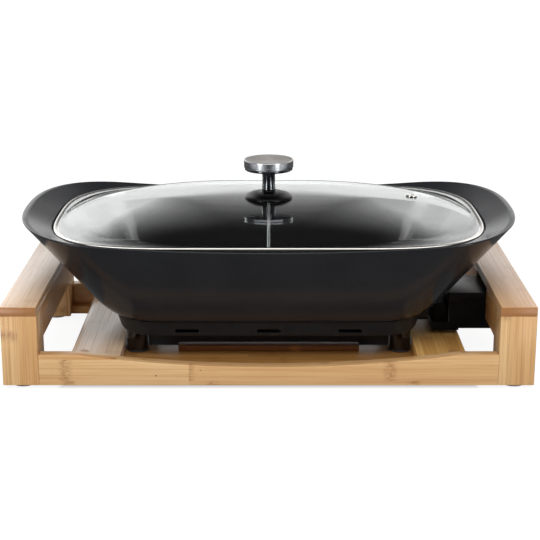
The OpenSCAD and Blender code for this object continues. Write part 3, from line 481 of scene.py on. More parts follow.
@dataclass(frozen=True)
class Grained:
    """A moulded, cast or drawn surface of one colour: plastic, rubber, ceramic or bare metal.

    The eye sees a fine grit that breaks up the gloss, and cloudy patches where the gloss changes a little.
    """

    name: str
    colour: str
    cloud: str
    roughness: float
    metallic: float = 0.0
    ior: float = 1.5
    grit_mm: float = 0.8
    grit_depth_mm: float = 0.02
    grit_strength: float = 0.3
    grit_share: float = 0.5
    grit_detail: float = 2.0
    cloud_mm: float = 14.0
    cloud_detail: float = 3.0
    cloud_span: Span = (0.5, 1.0)
    gloss_span: Span = (0.4, 1.1)
    gloss_change: float = 0.06
    transmission: float = 0.0
    specular: float = 0.5

    def material(self) -> bpy.types.Material:
        """Builds the surface.

        Returns:
            The material.
        """
        material, graph, surface = new_finish(self.name)
        place = graph.add("ShaderNodeTexCoord").outputs["Object"]
        clouds = graph.noise(place, self.cloud_mm, self.cloud_detail)
        grit = graph.noise(place, self.grit_mm, self.grit_detail)
        mixed = graph.math("MULTIPLY_ADD", grit, self.grit_share, clouds)
        colour = graph.mix(graph.fade(mixed, self.cloud_span), linear(self.colour), linear(self.cloud))
        gloss = (max(0.0, self.roughness - self.gloss_change), self.roughness + self.gloss_change)
        graph.link(surface, {
            "Base Color": colour, "Roughness": graph.fade(mixed, self.gloss_span, gloss),
            "Normal": graph.relief(grit, self.grit_strength, self.grit_depth_mm),
            "Metallic": self.metallic, "Transmission Weight": self.transmission,
            "Specular IOR Level": self.specular,
        })
        if self.metallic < 1:
            graph.link(surface, {"IOR": self.ior})
        return material


@dataclass(frozen=True)
class SpunSteel:
    """Stainless steel turned against an abrasive, so fine rings run round its axis.

    The eye sees a grey face whose highlights draw out into rays from the middle.
    """

    name: str
    colour: str
    roughness: float
    ring: str = "#6f6a66"
    ring_mm: float = 0.7
    ring_detail: float = 3.0
    ring_span: Span = (0.3, 0.75)
    ring_share: float = 0.35
    gloss_span: Span = (0.3, 0.7)
    gloss_change: Span = (-0.08, 0.1)
    anisotropy: float = 0.3

    def material(self) -> bpy.types.Material:
        """Builds the steel, with its rings round the Z axis.

        Returns:
            The material.
        """
        material, graph, surface = new_finish(self.name)
        place = graph.add("ShaderNodeTexCoord").outputs["Object"]
        radius = graph.vector("LENGTH", graph.vector("MULTIPLY", place, (1.0, 1.0, 0.0)))
        steps = graph.math("MULTIPLY", radius, per_metre(self.ring_mm))
        rings = graph.add("ShaderNodeTexNoise", {
            "W": steps, "Scale": 1.0, "Detail": self.ring_detail,
        }, noise_dimensions="1D").outputs[0]
        smoother, rougher = self.gloss_change
        gloss = (self.roughness + smoother, self.roughness + rougher)
        dark = graph.fade(rings, self.ring_span, (0.0, self.ring_share))
        tangent = graph.add("ShaderNodeTangent", direction_type="RADIAL", axis="Z").outputs[0]
        graph.link(surface, {
            "Base Color": graph.mix(dark, linear(self.colour), linear(self.ring)),
            "Roughness": graph.fade(rings, self.gloss_span, gloss), "Metallic": 1.0,
            "Anisotropic": self.anisotropy, "Tangent": tangent,
        })
        return material


@dataclass(frozen=True)
class LidGlass:
    """Tempered soda-lime glass: clear, smooth and faintly green at its edge, with light wipe marks."""

    name: str = "tempered_glass"
    tint: str = "#f7fbf9"
    ior: float = 1.5
    wipe_mm: float = 30.0
    wipe_detail: float = 4.0
    wipe_swirl: float = 1.5
    wipe_span: Span = (0.4, 0.8)
    wipe_roughness: float = 0.024

    def material(self) -> bpy.types.Material:
        """Builds the glass.

        Returns:
            The material.
        """
        material, graph, surface = new_finish(self.name)
        place = graph.add("ShaderNodeTexCoord").outputs["Object"]
        wipes = graph.noise(place, self.wipe_mm, self.wipe_detail, self.wipe_swirl)
        rough = graph.fade(wipes, self.wipe_span, (0.0, self.wipe_roughness))
        graph.link(surface, {
            "Base Color": linear(self.tint), "Roughness": rough, "Transmission Weight": 1.0, "IOR": self.ior,
        })
        return material


def only(piece: bpy.types.Object) -> None:
    """Makes a piece the one that is selected and active."""
    bpy.ops.object.select_all(action="DESELECT")
    piece.select_set(True)
    bpy.context.view_layer.objects.active = piece


def smooth(piece: bpy.types.Object, degrees: float = SMOOTH_DEG) -> None:
    """Shades a piece smooth, apart from edges sharper than an angle in degrees."""
    only(piece)
    bpy.ops.object.shade_smooth_by_angle(angle=math.radians(degrees))


def paint(piece: bpy.types.Object, *materials: bpy.types.Material) -> None:
    """Gives a piece its materials, in the order of their slots."""
    piece.data.materials.clear()
    for material in materials:
        piece.data.materials.append(material)


def settle(piece: bpy.types.Object, body: Body, slot: str, *nodes: str) -> None:
    """Rides a finished piece on its body in place of the solids that it stands for.

    Args:
        piece: the finished piece.
        body: the body that it moves with.
        slot: the record's material slot; not used.
        nodes: the solids that it replaces.
    """
    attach(piece, body.value)
    if nodes:
        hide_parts(*nodes)
    log.info("%s: %d faces, on %s", piece.name, len(piece.data.polygons), body.value)


def dress(piece: bpy.types.Object, finish: bpy.types.Material, body: Body, slot: str, *nodes: str) -> None:
    """Paints a piece with one material and settles it."""
    paint(piece, finish)
    settle(piece, body, slot, *nodes)


def finish_node(node: str, material: bpy.types.Material) -> None:
    """Gives a solid that keeps its own mesh a better material."""
    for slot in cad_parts[node].material_slots:
        slot.material = material
    log.info("%s: solid with %s", node, material.name)


def apply_modifier(piece: bpy.types.Object, kind: str, **settings: Any) -> None:
    """Adds a modifier to a piece and applies it.

    Args:
        piece: the piece.
        kind: the modifier's type.
        settings: its options.
    """
    only(piece)
    modifier = piece.modifiers.new(kind.lower(), kind)
    for key, value in settings.items():
        setattr(modifier, key, value)
    bpy.ops.object.modifier_apply(modifier=modifier.name)


def block(name: str, low: Vector, high: Vector) -> bpy.types.Object:
    """Adds a block between two corners.

    Args:
        name: the piece's name.
        low: its lowest corner, in metres.
        high: its highest corner, in metres.

    Returns:
        The piece, with its place in its mesh.
    """
    bpy.ops.object.select_all(action="DESELECT")
    bpy.ops.mesh.primitive_cube_add(size=1.0, location=(low + high) / 2, scale=high - low)
    bpy.ops.object.transform_apply(location=True, rotation=True, scale=True)
    piece = bpy.context.active_object
    piece.name = name
    return piece


def select_edges(piece: bpy.types.Object, wanted: Callable[[bmesh.types.BMEdge], bool]) -> None:
    """Selects only the edges that pass a test.

    Args:
        piece: the piece, in edit mode.
        wanted: the test.
    """
    bpy.ops.mesh.select_mode(type="EDGE")
    bpy.ops.mesh.select_all(action="DESELECT")
    mesh = bmesh.from_edit_mesh(piece.data)
    for edge in mesh.edges:
        if wanted(edge):
            edge.select_set(True)
    mesh.select_flush_mode()
    bmesh.update_edit_mesh(piece.data)


def round_edges(piece: bpy.types.Object, width_mm: float) -> None:
    """Rounds a piece's sharp edges in edit mode.

    Args:
        piece: the piece.
        width_mm: the width of the rounding.
    """
    only(piece)
    bpy.ops.object.mode_set(mode="EDIT")
    bpy.ops.mesh.select_mode(type="EDGE")
    bpy.ops.mesh.select_all(action="DESELECT")
    bpy.ops.mesh.edges_select_sharp(sharpness=math.radians(SHARP_DEG))
    bpy.ops.mesh.bevel(offset=width_mm * MM, segments=ROUND_STEPS, affect="EDGES")
    bpy.ops.object.mode_set(mode="OBJECT")


def cut(piece: bpy.types.Object, cutter: bpy.types.Object) -> None:
    """Takes a cutter's shape out of a piece and removes the cutter."""
    apply_modifier(piece, "BOOLEAN", operation="DIFFERENCE", solver="EXACT", object=cutter)
    bpy.data.objects.remove(cutter)


def join(name: str, pieces: Sequence[bpy.types.Object]) -> bpy.types.Object:
    """Joins pieces into one.

    Args:
        name: the joined piece's name.
        pieces: the pieces, the first of which takes the others in.

    Returns:
        The joined piece.
    """
    only(pieces[0])
    for piece in pieces[1:]:
        piece.select_set(True)
    bpy.ops.object.join()
    pieces[0].name = name
    return pieces[0]


def refined_copy(name: str, node: str, width_mm: float) -> bpy.types.Object:
    """Copies a solid's mesh, merges its loose triangles and rounds its edges.

    Args:
        name: the piece's name.
        node: the solid to copy.
        width_mm: the width of the rounding.

    Returns:
        The piece.
    """
    piece = bpy.data.objects.new(name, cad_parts[node].data.copy())
    bpy.context.scene.collection.objects.link(piece)
    only(piece)
    bpy.ops.object.mode_set(mode="EDIT")
    bpy.ops.mesh.select_all(action="SELECT")
    bpy.ops.mesh.remove_doubles(threshold=MERGE_MM * MM)
    bpy.ops.mesh.dissolve_limited(angle_limit=math.radians(FLAT_DEG))
    bpy.ops.object.mode_set(mode="OBJECT")
    apply_modifier(piece, "BEVEL", width=width_mm * MM, segments=COPY_STEPS, limit_method="ANGLE",
                   angle_limit=math.radians(SHARP_DEG), harden_normals=False)
    smooth(piece)
    return piece


def turned(name: str, profile: Sequence[Spot], sides: int = 96,
           centre_mm: Spot = (0.0, 0.0)) -> bpy.types.Object:
    """Turns a piece about an upright axis: a disc, extruded and resized up its profile.

    Args:
        name: the piece's name.
        profile: radius and height in millimetres, from the bottom up.
        sides: the sides of the disc.
        centre_mm: where the axis stands.

    Returns:
        The piece.
    """
    (radius, height), rest = profile[0], profile[1:]
    x, y = (c * MM for c in centre_mm)
    bpy.ops.object.select_all(action="DESELECT")
    bpy.ops.mesh.primitive_circle_add(vertices=sides, radius=radius * MM, fill_type="NGON",
                                      location=(x, y, height * MM))
    bpy.ops.object.transform_apply(location=True, rotation=True, scale=True)
    piece = bpy.context.active_object
    piece.name = name
    bpy.ops.object.mode_set(mode="EDIT")
    bpy.ops.mesh.select_all(action="SELECT")
    for next_radius, next_height in rest:
        rise = (next_height - height) * MM
        share = next_radius / radius
        bpy.ops.mesh.extrude_region_move(TRANSFORM_OT_translate={"value": (0.0, 0.0, rise)})
        bpy.ops.transform.resize(value=(share, share, 1.0), center_override=(x, y, next_height * MM))
        radius, height = next_radius, next_height
    bpy.ops.mesh.select_all(action="SELECT")
    bpy.ops.mesh.normals_make_consistent(inside=False)
    bpy.ops.object.mode_set(mode="OBJECT")
    smooth(piece)
    return piece


def arc(centre: Spot, radius: float, start: float, end: float, steps: int) -> list[Spot]:
    """Gives the points of an arc in a profile.

    Args:
        centre: the arc's centre.
        radius: its radius.
        start: the angle at which it starts, in degrees.
        end: the angle at which it ends.
        steps: the number of stretches.

    Returns:
        The points, both ends among them.
    """
    turns = [math.radians(start + (end - start) * i / steps) for i in range(steps + 1)]
    return [(centre[0] + radius * math.cos(t), centre[1] + radius * math.sin(t)) for t in turns]


def corners(x: float, y: float) -> list[Spot]:
    """Gives four places round the middle, one in each corner."""
    return [(hand * x, side * y) for hand in (-1, 1) for side in (-1, 1)]


def lower_edge(size: float, turn: float) -> Spot:
    """Gives how far a shell's rounded lower edge has come.

    Args:
        size: the size of the rounding, as a share of the wall.
        turn: the way round it, from the floor at 0 to the wall at 1.

    Returns:
        The shares of the wall's reach and of its height; on the floor the first is below 0.
    """
    return size * (turn ** 2 - (1 - turn) ** 2), size * turn ** 2


@dataclass(frozen=True)
class Outline:
    """A boat-shaped outline with straight sides and superellipse ends, in millimetres."""

    straight: float
    end: float
    half_depth: float
    power: float

    def inset(self, along: float, across: float | None = None) -> "Outline":
        """Gives the outline drawn in.

        Args:
            along: how far its ends come in.
            across: how far its sides come in, as far as its ends if left out.

        Returns:
            The smaller outline.
        """
        side = along if across is None else across
        return Outline(self.straight, self.end - along, self.half_depth - side, self.power)

    def reach(self, turn: float) -> float:
        """Finds how far the outline lies from the middle.

        Args:
            turn: the direction, as an angle in radians.

        Returns:
            The distance in millimetres.
        """
        low, high = 0.0, self.straight + self.end + self.half_depth
        for _ in range(HALVINGS):
            middle = (low + high) / 2
            x, y = abs(middle * math.cos(turn)), abs(middle * math.sin(turn))
            along, across = max(0.0, x - self.straight) / self.end, y / self.half_depth
            if along ** self.power + across ** self.power < 1:
                low = middle
            else:
                high = middle
        return middle

    def points(self, count: int, stretch: float) -> list[Spot]:
        """Gives points round the outline, in directions that all outlines share.

        Args:
            count: the number of points.
            stretch: length over depth of the ellipse that spaces the directions.

        Returns:
            The points, counterclockwise from the right end.
        """
        steps = [2 * math.pi * i / count for i in range(count)]
        turns = [math.atan2(math.sin(t), stretch * math.cos(t)) for t in steps]
        reaches = [self.reach(t) for t in turns]
        return [(r * math.cos(t), r * math.sin(t)) for r, t in zip(reaches, turns)]


class RingLoft:
    """A shell that is extruded ring by ring from a circle, each ring then laid on its own outline."""

    def __init__(self, name: str, first: Ring) -> None:
        """Starts the shell.

        Args:
            name: the piece's name.
            first: the first ring, in millimetres.
        """
        bpy.ops.object.select_all(action="DESELECT")
        bpy.ops.mesh.primitive_circle_add(vertices=len(first), radius=1.0, fill_type="NOTHING")
        self.piece = bpy.context.active_object
        self.piece.name = name
        self.first = first
        bpy.ops.object.mode_set(mode="EDIT")
        bpy.ops.mesh.select_mode(type="VERT")
        bpy.ops.mesh.select_all(action="SELECT")
        mesh = bmesh.from_edit_mesh(self.piece.data)
        mesh.verts.ensure_lookup_table()
        self.slots: dict[Point, int] = {}
        for slot, place in enumerate(first):
            mesh.verts[slot].co = Vector(place) * MM
            self.slots[tuple(mesh.verts[slot].co)] = slot
        self.start_slots = dict(self.slots)
        bmesh.update_edit_mesh(self.piece.data)

    def extend(self, ring: Ring) -> None:
        """Extrudes the open edge and lays it on the next ring, in millimetres."""
        bpy.ops.mesh.extrude_region_move()
        mesh = bmesh.from_edit_mesh(self.piece.data)
        slots: dict[Point, int] = {}
        for vertex in mesh.verts:
            if vertex.select:
                slot = self.slots[tuple(vertex.co)]
                vertex.co = Vector(ring[slot]) * MM
                slots[tuple(vertex.co)] = slot
        self.slots = slots
        bmesh.update_edit_mesh(self.piece.data)

    def close_ends(self) -> None:
        """Fills the open last ring and the open first one."""
        bpy.ops.mesh.edge_face_add()
        bpy.ops.mesh.select_all(action="DESELECT")
        mesh = bmesh.from_edit_mesh(self.piece.data)
        for vertex in mesh.verts:
            if tuple(vertex.co) in self.start_slots:
                vertex.select = True
        mesh.select_flush(True)
        bmesh.update_edit_mesh(self.piece.data)
        bpy.ops.mesh.edge_face_add()

    def close_hoop(self) -> None:
        """Brings the last ring back onto the first one."""
        self.extend(self.first)
        bpy.ops.mesh.select_all(action="SELECT")
        bpy.ops.mesh.remove_doubles(threshold=MERGE_MM * MM)

    def finish(self, degrees: float = SMOOTH_DEG) -> bpy.types.Object:
        """Turns the faces outwards and shades them.

        Args:
            degrees: the angle past which an edge stays sharp.

        Returns:
            The piece.
        """
        bpy.ops.mesh.select_all(action="SELECT")
        bpy.ops.mesh.normals_make_consistent(inside=False)
        bpy.ops.object.mode_set(mode="OBJECT")
        smooth(self.piece, degrees)
        return self.piece


def loft(name: str, rings: Sequence[Ring], degrees: float = SMOOTH_DEG) -> bpy.types.Object:
    """Makes a closed shell from rings.

    Args:
        name: the piece's name.
        rings: the rings in millimetres, from one filled end to the other.
        degrees: the angle past which an edge stays sharp.

    Returns:
        The piece.
    """
    shell = RingLoft(name, rings[0])
    for ring in rings[1:]:
        shell.extend(ring)
    shell.close_ends()
    return shell.finish(degrees)


def blend(near: Sequence[Spot], far: Sequence[Spot], share: float) -> list[Spot]:
    """Gives points a share of the way from one outline's points to another's."""
    return [(a[0] + share * (b[0] - a[0]), a[1] + share * (b[1] - a[1])) for a, b in zip(near, far)]


def at_height(points: Sequence[Spot], height: float) -> Ring:
    """Lays an outline's points at one height."""
    return [(x, y, height) for x, y in points]


@dataclass
class Stand:
    """The bamboo frame: posts, rails, aprons, planks and boards, on rubber feet."""

    edge_mm: float = 0.7
    floor_edge_mm: float = 0.35
    rail_flat_mm: float = 36.0
    rail_dip_mm: float = 12.0
    rail_stretches: int = 72
    foot_edge_mm: float = 0.8
    plug_edge_mm: float = 0.35
    plug_depth_mm: float = 3.0
    plug_inset_mm: Span = (12.0, 85.0)
    plug_r_mm: float = 4.5
    plug_play_mm: float = 0.1
    cut_over_mm: float = 1.0
    round_sides: int = 48

    def board(self, node: str, edge_mm: float) -> bpy.types.Object:
        """Builds one straight piece of wood over its solid's box.

        Args:
            node: the solid that it stands for.
            edge_mm: the rounding of its edges.

        Returns:
            The piece.
        """
        piece = block("bamboo_" + node, *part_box(node))
        round_edges(piece, edge_mm)
        smooth(piece)
        return piece

    def rail(self, node: str) -> bpy.types.Object:
        """Builds a long rail with its dipped top edge.

        Args:
            node: the solid that it stands for.

        Returns:
            The piece.
        """
        low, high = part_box(node)
        piece = block("bamboo_" + node, low, high)
        bpy.ops.object.mode_set(mode="EDIT")
        select_edges(piece, lambda edge: abs(edge.verts[0].co.x - edge.verts[1].co.x) > MM)
        bpy.ops.mesh.subdivide(number_cuts=self.rail_stretches - 1)
        half_arch = high.x - self.rail_flat_mm * MM
        dip = self.rail_dip_mm * MM
        radius = (half_arch ** 2 + dip ** 2) / (2 * dip)
        mesh = bmesh.from_edit_mesh(piece.data)
        for vertex in mesh.verts:
            if vertex.co.z > high.z - MM / 10 and abs(vertex.co.x) < half_arch:
                vertex.co.z = high.z - dip + radius - math.sqrt(radius ** 2 - vertex.co.x ** 2)
        bmesh.update_edit_mesh(piece.data)
        bpy.ops.object.mode_set(mode="OBJECT")
        round_edges(piece, self.edge_mm)
        smooth(piece)
        return piece

    def plugged_board(self, node: str) -> bpy.types.Object:
        """Builds a cross board with the holes that its plugs close.

        Args:
            node: the solid that it stands for.

        Returns:
            The piece.
        """
        piece = self.board(node, self.edge_mm)
        low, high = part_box(node)
        outer = high.x if high.x > 0 else low.x
        x = (abs(outer) / MM - self.plug_inset_mm[0]) * math.copysign(1.0, outer)
        top, radius = high.z / MM, self.plug_r_mm + self.plug_play_mm
        profile = [(radius, top - self.plug_depth_mm), (radius, top + self.cut_over_mm)]
        for side in (-1, 1):
            cut(piece, turned("plug_hole", profile, self.round_sides, (x, side * self.plug_inset_mm[1])))
        smooth(piece)
        return piece

    def plugs(self) -> bpy.types.Object:
        """Builds the wooden plugs over the board screws.

        Returns:
            The piece, all four plugs in one.
        """
        low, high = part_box("board_plugs")
        radius, edge = self.plug_r_mm, self.plug_edge_mm
        top = high.z / MM
        profile = [(radius, low.z / MM), (radius, top - edge), (radius - edge, top)]
        places = corners(high.x / MM - radius, high.y / MM - radius)
        return join("bamboo_board_plugs", [turned("peg", profile, self.round_sides, at) for at in places])

    def feet(self) -> bpy.types.Object:
        """Builds the rubber feet under the posts.

        Returns:
            The piece, all four feet in one.
        """
        _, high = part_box("stand_feet")
        post_low, post_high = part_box("front_right_post")
        middle = (post_low + post_high) / 2 / MM
        radius, top, edge = high.x / MM - middle.x, high.z / MM, self.foot_edge_mm
        profile = [(radius - edge, 0.0), *arc((radius - edge, edge), edge, -60, 0, 3), (radius, top)]
        feet = [turned("stand_foot", profile, self.round_sides, at) for at in corners(middle.x, middle.y)]
        return join("rubber_stand_feet", feet)

    def build(self) -> None:
        """Builds and dresses the whole stand."""
        front = Bamboo("bamboo_rail", Axis.X, "#e2bd8a", "#cf9f68", fibre="#bb8048", strip_mm=(40.0, 21.0),
                       shift_mm=(75, 0, 12.5)).material()
        post = Bamboo("bamboo_post", Axis.Z, "#e8c28e", "#cc9a60", fibre="#ad7036", strip_mm=(12.0, 17.0),
                      shift_mm=(8, 9, 4), vein_share=0.75).material()
        # Lit and shaded copies: the left top rail is paler for painted sheen, the right darker for painted
        # shade.
        left_top = Bamboo("bamboo_left_top_painted_sheen", Axis.Y, "#e0bd98", "#cfa57c", fibre="#b58757", end="#a97443",
                          strip_mm=(17.0, 40.0), shift_mm=(0, 5, 0), lacquer=1.0,
                          knuckle_share=0.2).material()
        right_top = Bamboo("bamboo_right_top_painted_shade", Axis.Y, "#d9b083", "#c7966a", fibre="#a8733d", end="#a97443",
                           strip_mm=(17.0, 40.0), shift_mm=(30, 2, 0), lacquer=0.7,
                           knuckle_share=0.3).material()
        # Painted shade: the aprons are darker than the rest of the bamboo, for the shade beside the pan.
        side = Bamboo("bamboo_apron_painted_shade", Axis.Y, "#bd8d58", "#a87643", strip_mm=(40.0, 16.0),
                      shift_mm=(10, 0, 4), lacquer=0.2).material()
        # Lit and shaded copies: the left cross board is pale for painted sheen, the right darker for painted
        # shade.
        left_board = Bamboo("bamboo_left_board_painted_sheen", Axis.Y, "#eed3b6", "#dfbe9c", fibre="#b98f68",
                            strip_mm=(16.0, 40.0), shift_mm=(90, 3, 0), lacquer=1.0,
                            knuckle_share=0.2).material()
        right_board = Bamboo("bamboo_right_board_painted_shade", Axis.Y, "#dcae68", "#c69350", fibre="#a8753a",
                             strip_mm=(12.0, 40.0), shift_mm=(40, 6, 0), lacquer=0.2).material()
        # Partly painted shade: planks and cleats are darker than the rails, their tone lowered for the pan's
        # shade.
        plank = Bamboo("bamboo_plank_with_painted_shade", Axis.X, "#c08d50", "#a8753c", fibre="#8a5c2b", strip_mm=(17.0, 40.0),
                       shift_mm=(20, 0, 0), lacquer=0.2).material()
        # Painted shade: the battens' bamboo is darkened to deep brown for the shade that the heater base
        # casts.
        batten = Bamboo("bamboo_batten_painted_shade", Axis.X, "#6e3f14", "#5c320c", fibre="#472506", strip_mm=(30.0, 30.0),
                        lacquer=0.0).material()
        peg = Bamboo("bamboo_peg", Axis.X, "#b98d5c", "#a87a48", knuckle="#6d4522",
                     strip_mm=(30.0, 30.0)).material()
        rubber = Grained("grey_rubber", "#9d9d9a", "#b1b1ae", 0.6, grit_mm=1.0, grit_depth_mm=0.05).material()
        for node in ("front_rail", "back_rail"):
            dress(self.rail(node), front, Body.STAND, "bamboo", node)
        for node, finish in (
            ("front_left_post", post),
            ("front_right_post", post),
            ("back_left_post", post),
            ("back_right_post", post),
            ("left_top_rail", left_top),
            ("right_top_rail", right_top),
            ("left_apron", side),
            ("right_front_apron", side),
            ("right_back_apron", side),
        ):
            dress(self.board(node, self.edge_mm), finish, Body.STAND, "bamboo", node)
        for node, finish in (
            ("front_cleat", plank),
            ("back_cleat", plank),
            ("front_plank", plank),
            ("back_plank", plank),
            ("front_batten", batten),
            ("back_batten", batten),
        ):
            dress(self.board(node, self.floor_edge_mm), finish, Body.STAND, "bamboo_floor", node)
        for node, finish in (("left_cross_board", left_board), ("right_cross_board", right_board)):
            dress(self.plugged_board(node), finish, Body.STAND, "bamboo", node)
        dress(self.plugs(), peg, Body.STAND, "bamboo_floor", "board_plugs")
        finish_node("joint_dowels", peg)
        dress(self.feet(), rubber, Body.STAND, "grey_rubber", "stand_feet")


@dataclass
class Pan:
    """The cast pan: rounded foot, flared wall, rim that rises to the ends, and the lid's seat."""

    rim: Outline = Outline(149.5, 91.7, 140.5, 2.44)
    foot: Outline = Outline(105.0, 55.0, 88.0, 2.6)
    lid: Outline = Outline(70.0, 140.5, 136.0, 3.2)
    rim_h: float = 136.8
    rim_rise: float = 13.2
    rim_round: float = 1.2
    rim_top: float = 2.1
    rim_top_end: float = 5.5
    land_share: float = 0.9
    land_drop: float = 0.3
    crown_drop: float = 0.4
    base: float = 51.0
    fillet: float = 0.22
    wall: float = 5.0
    floor_t: float = 4.5
    inner_fillet: float = 0.18
    seat_drop: float = 0.8
    seat_w: float = 6.0
    lid_play: float = 0.6
    lip_step: float = 4.0
    lip_step_w: float = 0.8
    lip_lift: float = 0.2
    lip_dish: float = 1.05
    lip_shares: tuple[float, ...] = (0.04, 0.15, 0.3, 0.45, 0.6, 0.75, 0.9, 1.0)
    inner_shares: Span = (0.97, 0.6)
    divider_drop: float = 5.0
    guide_x: float = 1.7
    guide_t: float = 2.4
    guide_w: float = 3.5
    guide_sink: float = 1.5
    guide_edge: float = 0.5
    count: int = 240
    crease_deg: float = 8.5
    fillet_steps: int = 12
    rim_steps: int = 12
    wall_steps: int = 5

    def __post_init__(self) -> None:
        """Works out the outlines' points and the heights that the rings share."""
        self.stretch = (self.rim.straight + self.rim.end) / self.rim.half_depth
        self.floor_z = self.base + self.floor_t
        self.seat_z = self.rim_h - self.seat_drop
        seat = self.lid.inset(-self.lid_play)
        self.rim_pts = self.points(self.rim)
        self.foot_pts = self.points(self.foot)
        self.seat_pts = self.points(seat)
        self.lip_pts = self.points(seat.inset(-self.lip_step_w))
        self.seat_in_pts = self.points(self.lid.inset(self.seat_w))
        self.well_pts = self.points(self.foot.inset(self.wall))

    def points(self, outline: Outline) -> list[Spot]:
        """Gives an outline's points in the directions that the pan's rings share."""
        return outline.points(self.count, self.stretch)

    def rim_z(self, x: float) -> float:
        """Gives the rim's height at a distance from the middle."""
        return self.rim_h + self.rim_rise * (x / (self.rim.straight + self.rim.end)) ** 2

    def outer_ring(self, out: float, up: float) -> Ring:
        """Gives a ring of the outer wall.

        Args:
            out: share of the way from the foot's outline to the rim's.
            up: share of the way from the foot's height to the rim's.

        Returns:
            The ring.
        """
        places = blend(self.foot_pts, self.rim_pts, out)
        edge = [self.rim_z(x) - self.rim_round for x, _ in self.rim_pts]
        return [(x, y, self.base + up * (z - self.base)) for (x, y), z in zip(places, edge)]

    def outer_fillet(self, turn: float) -> Ring:
        """Gives a ring of the rounded lower edge, from its foot at 0 to the wall at 1."""
        return self.outer_ring(*lower_edge(self.fillet, turn))

    def rim_ring(self, along: float, across: float, drop: float) -> Ring:
        """Gives a ring on top of the rim, drawn in and dropped."""
        places = self.points(self.rim.inset(along, across))
        return [(x, y, self.rim_z(edge_x) - drop) for (x, y), (edge_x, _) in zip(places, self.rim_pts)]

    def inner_ring(self, out: float, up: float) -> Ring:
        """Gives a ring of the inner wall.

        Args:
            out: share of the way from the well's outline to the seat's.
            up: share of the way from the floor to the seat.

        Returns:
            The ring.
        """
        height = self.floor_z + up * (self.seat_z - self.floor_z)
        return at_height(blend(self.well_pts, self.seat_in_pts, out), height)

    def lip_rings(self) -> list[Ring]:
        """Gives the rings of the lip, which falls from the rim's crown to the lid's seat.

        Returns:
            The rings, from the crown inwards.
        """
        crown = self.rim_ring(self.rim_top_end, self.rim_top, self.crown_drop)
        reach, low = self.lid.straight + self.lid.end, self.seat_z + self.lip_lift
        foot = [(x, y, low + self.lip_step * (x / reach) ** 2) for x, y in self.lip_pts]
        rings = [crown]
        for share in self.lip_shares:
            fall = 1 - (1 - share) ** self.lip_dish
            rings.append([
                (*Vector(top).lerp(Vector(end), share).xy, top[2] + fall * (end[2] - top[2]))
                for top, end in zip(crown, foot)
            ])
        return rings

    def shell(self) -> bpy.types.Object:
        """Builds the pan's shell.

        Returns:
            The piece.
        """
        turns = [i / self.fillet_steps for i in range(self.fillet_steps + 1)]
        rings = [self.outer_fillet(t) for t in turns]
        for step in range(1, self.wall_steps + 1):
            share = self.fillet + (1 - self.fillet) * step / self.wall_steps
            rings.append(self.outer_ring(share, share))
        for over, down in arc((0.0, 0.0), self.rim_round, 0, 90, self.rim_steps)[1:]:
            drawn = self.rim_round - over
            rings.append(self.rim_ring(drawn, drawn, self.rim_round - down))
        land = self.land_share
        rings.append(self.rim_ring(self.rim_top_end * land, self.rim_top * land, self.land_drop))
        rings.extend(self.lip_rings())
        rings.append(at_height(self.seat_pts, self.seat_z))
        rings.append(at_height(self.seat_in_pts, self.seat_z))
        rings.extend(self.inner_ring(share, share) for share in self.inner_shares)
        rings.extend(self.inner_ring(*lower_edge(self.inner_fillet, t)) for t in reversed(turns))
        return loft("pan_shell", rings, self.crease_deg)

    def guide_ribs(self) -> bpy.types.Object:
        """Builds the four ribs between which the divider stands.

        Returns:
            The piece, all four ribs in one.
        """
        well, seat = self.foot.half_depth - self.wall, self.lid.half_depth - self.seat_w
        rise = self.seat_z - self.floor_z
        heights = (self.floor_z + self.inner_fillet * rise, self.seat_z - self.divider_drop)
        ribs = []
        for side in (-1, 1):
            for hand in (-1, 1):
                x = sorted((hand * self.guide_x, hand * (self.guide_x + self.guide_t)))
                rib = block("rib", Vector((x[0], 0, heights[0])) * MM, Vector((x[1], 1, heights[1])) * MM)
                for vertex in rib.data.vertices:
                    height = vertex.co.z / MM
                    wall = well + (seat - well) * (height - self.floor_z) / rise
                    inner = vertex.co.y < MM / 2
                    reach = wall - self.guide_w if inner else wall + self.guide_sink
                    vertex.co.y = side * reach * MM
                only(rib)
                bpy.ops.object.mode_set(mode="EDIT")
                bpy.ops.mesh.select_all(action="SELECT")
                bpy.ops.mesh.normals_make_consistent(inside=False)
                bpy.ops.object.mode_set(mode="OBJECT")
                round_edges(rib, self.guide_edge)
                ribs.append(rib)
        piece = join("pan_guide_ribs", ribs)
        smooth(piece)
        return piece

    def build(self) -> None:
        """Builds and dresses the pan."""
        coat = Grained("nonstick_coating", "#232427", "#28292c", 0.2, grit_mm=1.2, grit_depth_mm=0.008,
                       specular=0.2, cloud_mm=45.0, gloss_change=0.03).material()
        dress(self.shell(), coat, Body.STAND, "nonstick", "pan")
        dress(self.guide_ribs(), coat, Body.STAND, "nonstick")


